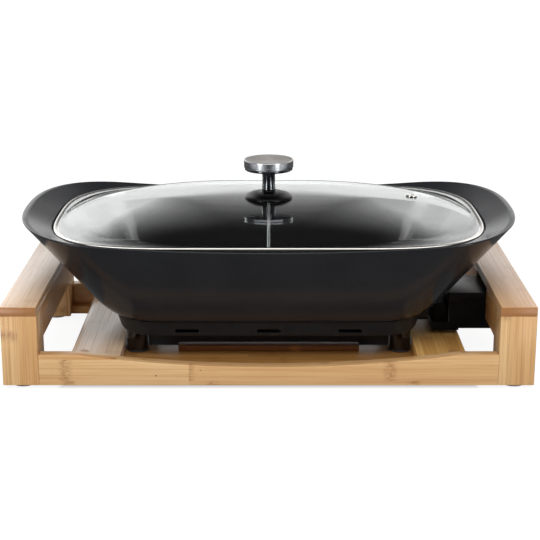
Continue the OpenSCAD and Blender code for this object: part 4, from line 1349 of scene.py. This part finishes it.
@dataclass
class HeaterBase:
    """The heater base under the pan: slotted skirt, round feet on pads, socket guard and inner fittings."""

    pan: Pan
    base_z: float = 37.5
    draft: float = 4.5
    edge_r: float = 2.0
    wall: float = 2.5
    floor_t: float = 2.0
    seam: float = 0.4
    seam_turn: float = 0.35
    slot_l: float = 23.3
    slot_h: float = 4.0
    slot_pitch: float = 78.6
    slot_rise: float = 5.6
    slot_round: float = 0.98
    slot_steps: int = 8
    foot_edge: float = 0.6
    foot_r: float = 10.7
    foot_sides: int = 64
    pad_edge: float = 0.4
    guard_edge: float = 0.4

    def skirt(self) -> bpy.types.Object:
        """Builds the skirt with its vent slots and the gap for the socket guard.

        Returns:
            The piece.
        """
        pan = self.pan
        out, _ = lower_edge(pan.fillet, self.seam_turn)
        flare = pan.rim.straight + pan.rim.end - pan.foot.straight - pan.foot.end
        end = pan.foot.end + out * flare - self.draft
        depth = pan.foot.half_depth + out * (pan.rim.half_depth - pan.foot.half_depth) - self.draft
        shape = Outline(pan.foot.straight, end, depth, pan.foot.power)
        lift = self.base_z + self.edge_r
        edge = [(self.edge_r - over, lift + down) for over, down in arc((0, 0), self.edge_r, -90, 0, 6)]
        rings = [at_height(pan.points(shape.inset(drawn)), height) for drawn, height in edge]
        for turn in (self.seam_turn, self.seam_turn / 2):
            rings.append([(x, y, z - self.seam) for x, y, z in pan.outer_fillet(turn)])
        rings.append(at_height(pan.points(shape.inset(self.wall)), lift))
        rings.append(at_height(pan.points(shape.inset(self.edge_r + self.wall)), self.base_z + self.floor_t))
        piece = loft("heater_skirt", rings)
        for step in (-1, 0, 1):
            cut(piece, self.slot_cutter(step * self.slot_pitch))
        guard_low, guard_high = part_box("socket_guard")
        reach = Vector((pan.rim.straight, 0, 0)) * MM
        cut(piece, block("guard_gap", Vector((guard_low.x, guard_low.y, 0)), guard_high + reach))
        smooth(piece)
        return piece

    def slot_cutter(self, x: float) -> bpy.types.Object:
        """Builds the round-ended bar that cuts one slot in the front and back of the skirt.

        Args:
            x: the middle of the slot.

        Returns:
            The cutter.
        """
        half_h, depth = self.slot_h / 2, 2 * self.pan.rim.half_depth
        middle = Vector((x, 0, self.base_z + self.slot_rise))
        size = Vector((self.slot_l / 2, depth, half_h))
        bar = block("slot_cutter", (middle - size) * MM, (middle + size) * MM)
        bpy.ops.object.mode_set(mode="EDIT")
        select_edges(bar, lambda edge: abs(edge.verts[0].co.y - edge.verts[1].co.y) > MM)
        bpy.ops.mesh.bevel(offset=half_h * MM * self.slot_round, segments=self.slot_steps, affect="EDGES")
        bpy.ops.object.mode_set(mode="OBJECT")
        return bar

    def round_set(self, name: str, node: str, edge: float, radius: float) -> bpy.types.Object:
        """Builds the four feet or the four pads under the base.

        Args:
            name: the piece's name.
            node: the solids that it stands for.
            edge: the rounding of the edges.
            radius: the radius of one of the four.

        Returns:
            The piece.
        """
        low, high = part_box(node)
        bottom, top = low.z / MM, high.z / MM
        profile = arc((radius - edge, bottom + edge), edge, -90, 0, 3)
        profile += arc((radius - edge, top - edge), edge, 0, 90, 3)
        places = corners(high.x / MM - radius, high.y / MM - radius)
        return join(name, [turned("round", profile, self.foot_sides, at) for at in places])

    def build(self) -> None:
        """Builds and dresses the base."""
        moulded = Grained("moulded_phenolic", "#1a1b1c", "#202122", 0.45, grit_mm=0.9, grit_depth_mm=0.03,
                          specular=0.2).material()
        glossy = Grained("polished_phenolic", "#0c0b0b", "#121111", 0.14, grit_mm=1.5,
                         grit_depth_mm=0.004).material()
        rubber = Grained("black_rubber", "#2a2a2b", "#333334", 0.5, grit_depth_mm=0.05).material()
        zinc = Grained("zinc_plated_steel", "#b9bbbd", "#a5a7a9", 0.32, 1.0, grit_mm=0.5).material()
        oxide = Grained("oxidised_steel", "#5b5652", "#443d39", 0.5, 1.0, cloud_mm=6.0).material()
        brass = Grained("turned_brass", "#d2ab5c", "#b98f45", 0.28, 1.0, grit_mm=0.4).material()
        cast = Grained("bare_aluminium", "#c9cacb", "#b3b4b6", 0.4, 1.0, grit_mm=0.7).material()
        dress(self.skirt(), moulded, Body.STAND, "black_plastic", "base_skirt")
        feet = self.round_set("heater_feet", "base_feet", self.foot_edge, self.foot_r)
        dress(feet, glossy, Body.STAND, "black_plastic", "base_feet")
        pad_r = self.foot_r + (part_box("foot_pads")[1].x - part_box("base_feet")[1].x) / MM
        pads = self.round_set("heater_foot_pads", "foot_pads", self.pad_edge, pad_r)
        dress(pads, rubber, Body.STAND, "black_rubber", "foot_pads")
        guard = refined_copy("heater_socket_guard", "socket_guard", self.guard_edge)
        dress(guard, moulded, Body.STAND, "black_plastic", "socket_guard")
        for node, finish in (
            ("foot_screws", zinc),
            ("board_screws", zinc),
            ("heating_element", oxide),
            ("contact_pins", brass),
            ("probe_well", cast),
            ("reflector_plate", cast),
        ):
            finish_node(node, finish)


@dataclass
class Lid:
    """The glass lid with its steel band, steam vent and knob."""

    pan: Pan
    rest_gap: float = 0.3
    band_h: float = 4.2
    band_t: float = 0.6
    band_leg: float = 4.5
    band_round: float = 1.9
    band_slope: float = 0.5
    band_crease_deg: float = 40.0
    vent_edge: float = 0.25
    glass_gap: float = 0.2
    glass_lap: float = 0.8
    edge_fit: float = 0.05
    dome_straight: float = 40.0
    dome_in: float = 0.7
    dome_squareness: float = 2.05
    dome_h: float = 17.0
    dome_power: float = 6.0
    glass_t: float = 3.5
    dome_rings: int = 30
    dome_spread: float = 0.55
    dome_crease_deg: float = 50.0

    def __post_init__(self) -> None:
        """Works out the heights that the lid's pieces share."""
        self.low = self.pan.seat_z + self.rest_gap
        self.edge_low = self.low + self.band_t + self.edge_fit
        self.edge_top = self.low + self.band_h - self.band_t - self.edge_fit
        self.crown = self.edge_top + self.dome_h
        self.under = self.crown - self.glass_t
        self.shares = [((i + 1) / self.dome_rings) ** self.dome_spread for i in range(self.dome_rings)]

    def glass(self) -> bpy.types.Object:
        """Builds the domed glass.

        Returns:
            The piece.
        """
        pan = self.pan
        leg = pan.lid.inset(self.band_leg + self.glass_lap)
        reach = leg.straight + leg.end - self.dome_straight - self.dome_in
        dome = Outline(self.dome_straight, reach, leg.half_depth - self.dome_in, self.dome_squareness)
        dome_pts, leg_pts = pan.points(dome), pan.points(leg)
        edge_pts = pan.points(pan.lid.inset(self.band_t + self.glass_gap))

        def dome_ring(share: float, edge: float, top: float) -> Ring:
            """Gives a ring of the dome, a share of the way out.

            Args:
                share: the share of the dome's outline.
                edge: the height of its edge.
                top: the height of its middle.

            Returns:
                The ring.
            """
            height = edge + (top - edge) * (1 - share ** self.dome_power)
            return at_height([(share * x, share * y) for x, y in dome_pts], height)

        rings = [dome_ring(s, self.edge_low, self.under) for s in self.shares]
        rings += [at_height(leg_pts, self.edge_low), at_height(edge_pts, self.edge_low)]
        rings += [at_height(edge_pts, self.edge_top), at_height(leg_pts, self.edge_top)]
        rings += [dome_ring(s, self.edge_top, self.crown) for s in reversed(self.shares)]
        return loft("lid_dome", rings, self.dome_crease_deg)

    def band(self) -> bpy.types.Object:
        """Builds the rolled steel band round the glass.

        Returns:
            The piece.
        """
        top, r, t, leg = self.low + self.band_h, self.band_round, self.band_t, self.band_leg
        section = [(r - over, self.low + r + down) for over, down in arc((0, 0), r, -90, 0, 6)]
        section += [(r - over, top - r + down) for over, down in arc((0, 0), r, 0, 90, 9)]
        section += [(leg - t / 2, top - self.band_slope), (leg, top - t), (leg, top - 2 * t)]
        section += [(2 * t, top - 2 * t), (2 * t, self.low + t), (leg, self.low + t), (leg, self.low)]
        rings = [at_height(self.pan.points(self.pan.lid.inset(drawn)), height) for drawn, height in section]
        hoop = RingLoft("lid_steel_band", rings[0])
        for ring in rings[1:]:
            hoop.extend(ring)
        hoop.close_hoop()
        return hoop.finish(self.band_crease_deg)

    def build(self) -> None:
        """Builds and dresses the lid."""
        bright = Grained("polished_stainless", "#d3d0cb", "#c4c1bc", 0.12, 1.0, grit_mm=2.0,
                         grit_depth_mm=0.002, gloss_change=0.03).material()
        dress(self.glass(), LidGlass().material(), Body.LID, "lid_glass", "lid_glass")
        dress(self.band(), bright, Body.LID, "band_steel", "lid_band")
        vent = refined_copy("lid_steam_vent", "steam_vent", self.vent_edge)
        dress(vent, bright, Body.LID, "band_steel", "steam_vent")
        Knob(self.crown).build()


@dataclass
class Knob:
    """The knob: saucer flange, ringed collar, neck with a bowl, and a steel cap."""

    crown: float
    flange_r: float = 23.7
    flange_edge: float = 0.4
    flange_rise: float = 6.0
    flange_h: float = 9.0
    neck_r: float = 6.5
    collar_h: float = 4.0
    collar_w: float = 0.3
    groove: float = 0.5
    neck_h: float = 31.0
    neck_flare: float = 2.2
    bowl_h: float = 2.6
    bowl_in: float = 0.8
    bowl_edge: float = 0.6
    cap_r: float = 24.5
    cap_h: float = 8.2
    cap_edge: float = 1.3
    cap_chamfer: float = 0.4
    dish: float = 0.4
    dish_shares: tuple[float, ...] = (0.97, 0.85, 0.7, 0.5, 0.3, 0.12)
    spun_tilts: Span = (-0.7, 0.5)

    def raised(self, profile: Sequence[Spot]) -> list[Spot]:
        """Lifts a profile from the lid's crown to its real height."""
        return [(r, self.crown + z) for r, z in profile]

    def flange(self) -> list[Spot]:
        """Draws the flange, an inverted saucer that sweeps up into the neck.

        Returns:
            The profile.
        """
        flare = self.flange_h - self.flange_rise
        flat, edge = self.neck_r + flare, self.flange_edge
        reach, rise = self.flange_r - flat, self.flange_rise - edge
        saucer = [(flat + reach * across, edge + rise * up) for across, up in arc((0, 0), 1.0, 0, 90, 16)]
        return [(self.flange_r - edge, 0.0), *saucer, *arc((flat, self.flange_h), flare, 270, 180, 10)[1:]]

    def collar(self) -> list[Spot]:
        """Draws the collar, two rings with a groove between them.

        Returns:
            The profile.
        """
        inner, outer, edge = self.neck_r, self.neck_r + self.collar_w, self.collar_w / 2
        ring_h = (self.collar_h - self.groove) / 2
        points = []
        for start in (self.flange_h, self.flange_h + ring_h + self.groove):
            end = start + ring_h
            points += [(inner, start), (outer, start + edge), (outer, end - edge), (inner, end)]
        return points

    def neck(self) -> list[Spot]:
        """Draws the neck and the bowl under the cap.

        Returns:
            The profile.
        """
        low = self.neck_h - self.bowl_h
        rim, edge = self.cap_r - self.bowl_in, self.bowl_edge
        flare = arc((self.neck_r + self.neck_flare, low - self.neck_flare), self.neck_flare, 180, 90, 6)
        bowl = arc((rim - edge, low + edge), edge, -90, 0, 3)
        return [(self.neck_r, self.flange_h + self.collar_h)] + flare + bowl + [(rim, self.neck_h)]

    def cap(self) -> list[Spot]:
        """Draws the cap, with its dished top.

        Returns:
            The profile.
        """
        top, edge = self.neck_h + self.cap_h, self.cap_edge
        low = [(self.cap_r - self.cap_chamfer, self.neck_h), (self.cap_r, self.neck_h + self.cap_chamfer)]
        round_edge = arc((self.cap_r - edge, top - edge), edge, 0, 90, 6)
        face = self.cap_r - edge
        dish = [(face * s, top - self.dish * (1 - s ** 2)) for s in self.dish_shares]
        return low + round_edge + dish

    def build(self) -> None:
        """Builds and dresses the knob."""
        buffed = Grained("buffed_stainless", "#cdd1d6", "#bcc0c6", 0.16, 1.0, grit_mm=2.0,
                         grit_depth_mm=0.001, gloss_change=0.03).material()
        satin = Grained("satin_black_phenolic", "#060606", "#090909", 0.3, grit_mm=2.0, grit_depth_mm=0.003,
                        specular=0.1).material()
        chrome = Grained("black_chrome", "#75787c", "#6d7074", 0.07, 1.0, grit_mm=2.0, grit_depth_mm=0.001,
                         gloss_change=0.02).material()
        spun = SpunSteel("spun_stainless", "#beb9b4", 0.42).material()
        down, up = self.spun_tilts
        for name, profile, finish, slot, node in (
            ("knob_saucer", self.flange(), satin, "gloss_black", "knob_flange"),
            ("knob_rings", self.collar(), chrome, "band_steel", "knob_collar"),
            ("knob_stem", self.neck(), chrome, "gloss_black", "knob_neck"),
            ("knob_top", self.cap(), buffed, "cap_steel", "knob_cap"),
        ):
            piece = turned(name, self.raised(profile))
            paint(piece, finish)
            if node == "knob_cap":
                piece.data.materials.append(spun)
                for face in piece.data.polygons:
                    face.material_index = 0 if down <= face.normal.z <= up else 1
            settle(piece, Body.LID, slot, node)
        zinc = bpy.data.materials["zinc_plated_steel"]
        finish_node("knob_screw", zinc)
        finish_node("knob_washer", zinc)


@dataclass
class Divider:
    """The loose aluminium plate between the pan's two halves."""

    edge: float = 0.3

    def build(self) -> None:
        """Builds and dresses the divider."""
        sheet = Grained("satin_aluminium_sheet", "#b9babb", "#a6a7a9", 0.38, 1.0, grit_mm=0.6,
                        cloud_mm=25.0).material()
        plate = refined_copy("divider_sheet", "divider_plate", self.edge)
        dress(plate, sheet, Body.DIVIDER, "divider_aluminium", "divider_plate")


@dataclass
class Thermostat:
    """The plug-in thermostat: housing, cover, plug and dial."""

    edge: float = 0.6
    dial_edge: float = 0.3
    pointer_w: float = 1.3
    pointer_run: Span = (6.0, 12.2)
    pointer_proud: float = 0.1
    pointer_t: float = 0.4

    def pointer(self) -> bpy.types.Object:
        """Prints the pointer on the end of the dial's grip.

        Returns:
            The piece.
        """
        low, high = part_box("dial_knob")
        face, middle = high.x + self.pointer_proud * MM, (low.z + high.z) / 2
        half, (start, end) = self.pointer_w * MM / 2, self.pointer_run
        inner = Vector((face - self.pointer_t * MM, -half, middle + start * MM))
        piece = block("control_pointer", inner, Vector((face, half, middle + end * MM)))
        round_edges(piece, self.pointer_proud)
        return piece

    def build(self) -> None:
        """Builds and dresses the thermostat and its dial."""
        black = Grained("moulded_abs_black", "#050506", "#090909", 0.45, grit_mm=0.9, grit_depth_mm=0.03,
                        specular=0.1).material()
        # Partly painted sheen: the cover is a touch lighter than the housing for the grey that its top
        # reflects.
        grey = Grained("moulded_abs_cover_painted_sheen", "#0c0c0d", "#111112", 0.36, grit_mm=0.9, grit_depth_mm=0.03,
                       specular=0.15).material()
        satin = Grained("satin_abs_dial", "#1c1d1e", "#232425", 0.34, grit_mm=0.9).material()
        ink = Grained("printed_white_ink", "#e6e5e0", "#d8d6d0", 0.5, grit_mm=0.5).material()
        ceramic = Grained("steatite", "#e3dfd5", "#d6d1c5", 0.45, grit_mm=0.6).material()
        amber = Grained("amber_polycarbonate", "#e0701a", "#c95c10", 0.1, ior=1.58, grit_mm=1.0,
                        grit_depth_mm=0.003, transmission=0.5).material()
        zinc, brass = bpy.data.materials["zinc_plated_steel"], bpy.data.materials["turned_brass"]
        for name, node, finish, slot in (
            ("control_housing", "thermostat_housing", black, "control_black"),
            ("control_cover", "thermostat_cover", grey, "control_grey"),
            ("control_plug", "plug_block", black, "control_black"),
            ("control_cord_gland", "cord_gland", black, "control_black"),
        ):
            dress(refined_copy(name, node, self.edge), finish, Body.THERMOSTAT, slot, node)
        dial = refined_copy("control_dial", "dial_knob", self.dial_edge)
        dress(dial, satin, Body.DIAL, "control_black", "dial_knob")
        dress(self.pointer(), ink, Body.DIAL, "control_grey")
        for node, finish in (
            ("cover_screws", zinc),
            ("temperature_probe", zinc),
            ("dial_shaft", zinc),
            ("contact_sockets", brass),
            ("switch_block", ceramic),
            ("indicator_lens", amber),
        ):
            finish_node(node, finish)


def sector(graph: Graph, axes: bpy.types.Node, turns: Span, soft: float) -> Socket:
    """Picks out two sectors in front of the object, one on each side.

    Args:
        graph: the graph that is built.
        axes: the node that gives a place's or a direction's x, y and z.
        turns: the angles from straight in front at which a sector starts and ends, in radians.
        soft: half the width of its soft edges.

    Returns:
        The share, from 0 to 1.
    """
    side = graph.math("ABSOLUTE", axes.outputs[0])
    front = graph.math("MULTIPLY", axes.outputs[1], -1.0)
    turn = graph.math("ARCTAN2", side, front)
    inner, outer = turns
    past = graph.fade(turn, (inner - soft, inner + soft), soft=True)
    before = graph.fade(turn, (outer - soft, outer + soft), (1.0, 0.0), soft=True)
    return graph.math("MULTIPLY", past, before)


@dataclass(frozen=True)
class Room:
    """The room that shiny surfaces show.

    Bright walls stand to the left and right, and their inner edges lean outwards. A narrow bright gap runs
    beside each. Low behind the object is a white backdrop. In front are a light above the camera and a low
    strip on each side of it, and the rest is dim. Spans are parts of a direction one unit long: x to the
    right, y to the back and z up, with side for the size of x.
    """

    dim: float = 0.02
    gain: float = 1.2
    horizon: float = 0.02
    left_wall: float = 1.0
    right_wall: float = 0.67
    hand_x: Span = (-0.05, 0.05)
    wall_growth: float = 7.6
    wall_spill: Span = (0.046, 0.008)
    spill_z: Span = (0.45, 0.88)
    wall_base: float = 0.2
    wall_by_z: float = 3.4
    wall_by_side: float = 2.9
    wall_top_z: Span = (0.52, 0.82)
    above_wall: float = 0.18
    wall_end_side: Span = (0.58, 0.74)
    past_wall: float = 0.06
    behind_y: Span = (-0.3, 0.0)
    beside_side: Span = (0.7, 0.9)
    backdrop_z: tuple[Span, ...] = (
        (0.03, 0.95), (0.09, 1.1), (0.14, 1.45), (0.2135, 1.58), (0.2175, 0.7), (0.222, 0.43), (0.23, 0.26),
        (0.27, 0.15), (0.45, 0.075), (0.72, 0.045), (0.95, 0.08),
    )
    gap_glow: float = 1.45
    gap_on_wall: float = 0.2
    gap_side: float = 0.15
    gap_lean: float = 0.33
    gap_bend: float = 2.5
    gap_edge: Span = (0.01, 0.028)
    top_glow: float = 2.6
    top_y: Span = (-0.16, -0.3)
    top_z: Span = (0.4, 0.55)
    strip_glow: float = 20.0
    strip_turns: Span = (0.6, 0.84)
    strip_soft: float = 0.07
    strip_z: Span = (0.2, 0.235)

    def walls(self, graph: Graph, x: Socket, side: Socket, z: Socket) -> Socket:
        """Gives the walls, whose light spills inwards and fades at the top and at the far end.

        Args:
            graph: the world's graph.
            x: the direction's x.
            side: its size.
            z: the direction's z.

        Returns:
            The strength of their light.
        """
        slope = graph.math("DIVIDE", side, graph.math("MAXIMUM", z, self.horizon))
        growth = graph.math("EXPONENT", graph.math("MULTIPLY", slope, self.wall_growth))
        spill = graph.math("MULTIPLY", growth, graph.fade(z, self.spill_z, self.wall_spill, soft=True))
        by_z = graph.math("MULTIPLY_ADD", z, self.wall_by_z, self.wall_base)
        level = graph.math("MULTIPLY_ADD", side, self.wall_by_side, by_z)
        hand = graph.fade(x, self.hand_x, (self.left_wall, self.right_wall))
        below_top = graph.fade(z, self.wall_top_z, (1.0, self.above_wall), soft=True)
        topped = graph.math("MULTIPLY", graph.math("MULTIPLY", level, hand), below_top)
        before_end = graph.fade(side, self.wall_end_side, (1.0, self.past_wall), soft=True)
        return graph.math("MULTIPLY", graph.math("MINIMUM", spill, topped), before_end)

    def backdrop(self, graph: Graph, z: Socket) -> Socket:
        """Gives the backdrop, which is bright up to its upper edge.

        Args:
            graph: the world's graph.
            z: the direction's z.

        Returns:
            The strength of its light.
        """
        node = graph.add("ShaderNodeValToRGB", {"Fac": z})
        stops = node.color_ramp.elements
        first, *between, last = self.backdrop_z
        for stop, (place, glow) in zip(stops, (first, last)):
            stop.position = place
            stop.color = (glow, glow, glow, 1.0)
        for place, glow in between:
            stops.new(place).color = (glow, glow, glow, 1.0)
        return node.outputs[0]

    def gap(self, graph: Graph, side: Socket, z: Socket) -> Socket:
        """Gives the bright gap beside each wall, which leans outwards.

        Args:
            graph: the world's graph.
            side: the size of the direction's x.
            z: the direction's z.

        Returns:
            The strength of its light.
        """
        lean = graph.math("POWER", z, self.gap_bend)
        place = graph.math("MULTIPLY_ADD", lean, self.gap_lean, self.gap_side)
        off = graph.math("ABSOLUTE", graph.math("SUBTRACT", side, place))
        return graph.fade(off, self.gap_edge, (self.gap_glow, 0.0), soft=True)

    def front_lights(self, graph: Graph, axes: bpy.types.Node) -> Socket:
        """Gives the light above the camera and the low strips beside it.

        Args:
            graph: the world's graph.
            axes: the node that gives the direction's x, y and z.

        Returns:
            The strength of their light.
        """
        _, y, z = axes.outputs
        in_front = graph.fade(y, self.top_y, (0.0, self.top_glow), soft=True)
        top_light = graph.math("MULTIPLY", in_front, graph.fade(z, self.top_z, soft=True))
        low = graph.fade(z, self.strip_z, (self.strip_glow, 0.0), soft=True)
        strips = graph.math("MULTIPLY", sector(graph, axes, self.strip_turns, self.strip_soft), low)
        return graph.math("MAXIMUM", strips, top_light)

    def light(self, graph: Graph, axes: bpy.types.Node, through: Socket) -> Socket:
        """Gives the room's light in a direction.

        Args:
            graph: the world's graph.
            axes: the node that gives the direction's x, y and z.
            through: whether the ray has come through glass.

        Returns:
            The strength of the light.
        """
        x, y, z = axes.outputs
        side = graph.math("ABSOLUTE", x)
        behind = graph.fade(y, self.behind_y)
        open_side = graph.math("MAXIMUM", behind, graph.fade(side, self.beside_side))
        walls = graph.math("MULTIPLY", self.walls(graph, x, side, z), open_side)
        gap = self.gap(graph, side, z)
        back = graph.math("MULTIPLY", graph.math("MAXIMUM", self.backdrop(graph, z), gap), behind)
        marked = graph.math("MULTIPLY_ADD", gap, self.gap_on_wall, walls)
        rear = graph.math("MAXIMUM", back, marked)
        # What comes out through the lid doesn't show the lights in front, so the pan stays dark inside.
        fore = graph.choose(through, self.front_lights(graph, axes), 0.0)
        lights = graph.math("MAXIMUM", graph.math("MAXIMUM", rear, fore), self.dim)
        return graph.math("MULTIPLY", lights, self.gain)


@dataclass
class Studio:
    """The pale floor, the soft light round the object and the camera, with lengths in metres."""

    room: Room = Room()
    camera_at: Point = (0.0013, -1.366, 0.465)
    pitch_deg: float = 15.68
    lens_mm: float = 93.33
    sensor_mm: float = 36.0
    clip: Span = (0.05, 50.0)
    floor_side: float = 16.0
    floor_glow: float = 0.9
    dim_floor: float = 0.12
    lit_paper: str = "#dcdcdc"
    seen_paper: str = "#7d7d7d"
    # The box under the cooker where the camera's floor glow is cut out, partly a painted shadow.
    painted_shadow_x: Span = (0.185, 0.2)
    painted_shadow_y: Span = (0.1, 0.125)
    patch_glow: float = 0.65
    patch_turns: Span = (0.33, 1.5)
    patch_soft: float = 0.3
    patch_start: Span = (0.54, 0.64)
    core_glow: float = 4.2
    core_start: Span = (0.42, 0.48)
    core_end: Span = (0.61, 0.67)
    past_core: float = 0.2
    sky: float = 0.55
    sky_rise: float = 0.4
    box_at: Point = (1.3, -1.3, 0.45)
    box_size: Span = (1.0, 0.9)
    box_watts: float = 1.5
    top_at: Point = (0.0, -1.0, 1.35)
    top_size: Span = (1.6, 0.8)
    top_watts: float = 14.0
    aim: Point = (0.0, 0.0, 0.08)

    def reflected_floor(self, graph: Graph, place: Socket, axes: bpy.types.Node) -> Socket:
        """Gives the floor's glow in reflections: dim, with a broad patch and a bright core on each side.

        Args:
            graph: the floor's graph.
            place: the place on the floor.
            axes: the node that gives its x, y and z.

        Returns:
            The strength of the glow.
        """
        far = graph.vector("LENGTH", place)
        away = graph.fade(far, self.patch_start, soft=True)
        patches = graph.math("MULTIPLY", sector(graph, axes, self.patch_turns, self.patch_soft), away)
        broad = graph.fade(patches, (0.0, 1.0), (self.dim_floor, self.patch_glow))
        inside = graph.fade(far, self.core_end, (1.0, self.past_core), soft=True)
        strip = graph.math("MULTIPLY", graph.fade(far, self.core_start, soft=True), inside)
        core = graph.math("MULTIPLY", sector(graph, axes, self.room.strip_turns, self.room.strip_soft), strip)
        return graph.math("MULTIPLY_ADD", core, self.core_glow, broad)

    def open_floor(self, graph: Graph, axes: bpy.types.Node) -> Socket:
        """Gives the floor's glow to the camera, which leaves out the floor under the cooker.

        The darker box there is partly a painted shadow, cut out by coordinates, and partly the real shade
        that then shows.

        Args:
            graph: the floor's graph.
            axes: the node that gives a place's x, y and z.

        Returns:
            The strength of the glow.
        """
        past_end = graph.fade(graph.math("ABSOLUTE", axes.outputs[0]), self.painted_shadow_x)
        past_side = graph.fade(graph.math("ABSOLUTE", axes.outputs[1]), self.painted_shadow_y)
        return graph.math("MULTIPLY", graph.math("MAXIMUM", past_end, past_side), self.floor_glow)

    def floor(self) -> None:
        """Lays the pale floor, which stays white for the camera but takes the object's shadow."""
        bpy.ops.object.select_all(action="DESELECT")
        bpy.ops.mesh.primitive_plane_add(size=self.floor_side)
        floor = bpy.context.active_object
        floor.name = "floor"
        material = bpy.data.materials.new("pale_floor")
        material.cycles.emission_sampling = "NONE"
        material.use_nodes = True
        graph = Graph(material.node_tree)
        graph.tree.nodes.clear()
        path = graph.add("ShaderNodeLightPath")
        camera, glossy = path.outputs["Is Camera Ray"], path.outputs["Is Glossy Ray"]
        place = graph.add("ShaderNodeTexCoord").outputs["Object"]
        axes = graph.add("ShaderNodeSeparateXYZ", {0: place})
        reflected = graph.math("MULTIPLY", glossy, self.reflected_floor(graph, place, axes))
        glow = graph.math("MULTIPLY_ADD", camera, self.open_floor(graph, axes), reflected)
        matt = graph.mix(camera, linear(self.lit_paper), linear(self.seen_paper))
        paper = graph.mix(glossy, matt, linear("#000000"))
        diffuse = graph.add("ShaderNodeBsdfDiffuse", {"Color": paper})
        emission = graph.add("ShaderNodeEmission", {"Strength": glow})
        both = graph.add("ShaderNodeAddShader", {0: diffuse.outputs[0], 1: emission.outputs[0]})
        graph.add("ShaderNodeOutputMaterial", {"Surface": both.outputs[0]})
        paint(floor, material)

    def world(self) -> None:
        """Sets the light from all round: white to the camera, even on matt surfaces, the room in gloss."""
        world = bpy.data.worlds.new("studio")
        world.cycles.sampling_method = "NONE"
        bpy.context.scene.world = world
        world.use_nodes = True
        graph = Graph(world.node_tree)
        graph.tree.nodes.clear()
        way = graph.add("ShaderNodeTexCoord").outputs["Generated"]
        axes = graph.add("ShaderNodeSeparateXYZ", {0: way})
        path = graph.add("ShaderNodeLightPath")
        room = self.room.light(graph, axes, path.outputs["Is Transmission Ray"])
        height = graph.math("MAXIMUM", axes.outputs[2], self.room.horizon)
        matt = graph.math("MULTIPLY_ADD", height, self.sky_rise, self.sky)
        soft = graph.choose(path.outputs["Is Glossy Ray"], matt, room)
        seen = graph.choose(path.outputs["Is Camera Ray"], soft, 1.0)
        background = graph.add("ShaderNodeBackground", {"Strength": seen})
        graph.add("ShaderNodeOutputWorld", {"Surface": background.outputs[0]})

    def softbox(self, name: str, place: Point, size: Span, watts: float) -> None:
        """Hangs a softbox that faces the object and that only matt surfaces see.

        Args:
            name: the lamp's name.
            place: where it hangs.
            size: its width and height in metres.
            watts: its power.
        """
        bpy.ops.object.light_add(type="AREA", location=place)
        lamp = bpy.context.active_object
        lamp.name = name
        lamp.rotation_euler = (Vector(self.aim) - Vector(place)).to_track_quat("-Z", "Y").to_euler()
        lamp.data.shape = "RECTANGLE"
        lamp.data.size, lamp.data.size_y = size
        lamp.data.energy = watts
        lamp.visible_camera = False
        lamp.visible_glossy = False
        lamp.visible_transmission = False

    def camera(self) -> None:
        """Sets the camera where the photograph was taken."""
        tilt = math.radians(90 - self.pitch_deg)
        bpy.ops.object.camera_add(location=self.camera_at, rotation=(tilt, 0.0, 0.0))
        camera = bpy.context.active_object
        camera.data.lens = self.lens_mm
        camera.data.sensor_width = self.sensor_mm
        camera.data.clip_start, camera.data.clip_end = self.clip
        bpy.context.scene.camera = camera

    def build(self) -> None:
        """Builds the whole studio."""
        self.floor()
        self.world()
        x, y, z = self.box_at
        self.softbox("left_box", (-x, y, z), self.box_size, self.box_watts)
        self.softbox("right_box", (x, y, z), self.box_size, self.box_watts)
        self.softbox("top_box", self.top_at, self.top_size, self.top_watts)
        self.camera()
        bpy.context.scene.view_settings.view_transform = "Standard"


def main() -> None:
    """Builds the sub-assemblies in order."""
    logging.basicConfig(level=logging.INFO, format="%(message)s")
    Stand().build()
    pan = Pan()
    pan.build()
    HeaterBase(pan).build()
    Lid(pan).build()
    Divider().build()
    Thermostat().build()
    Studio().build()


if __name__ == "__main__":
    main()
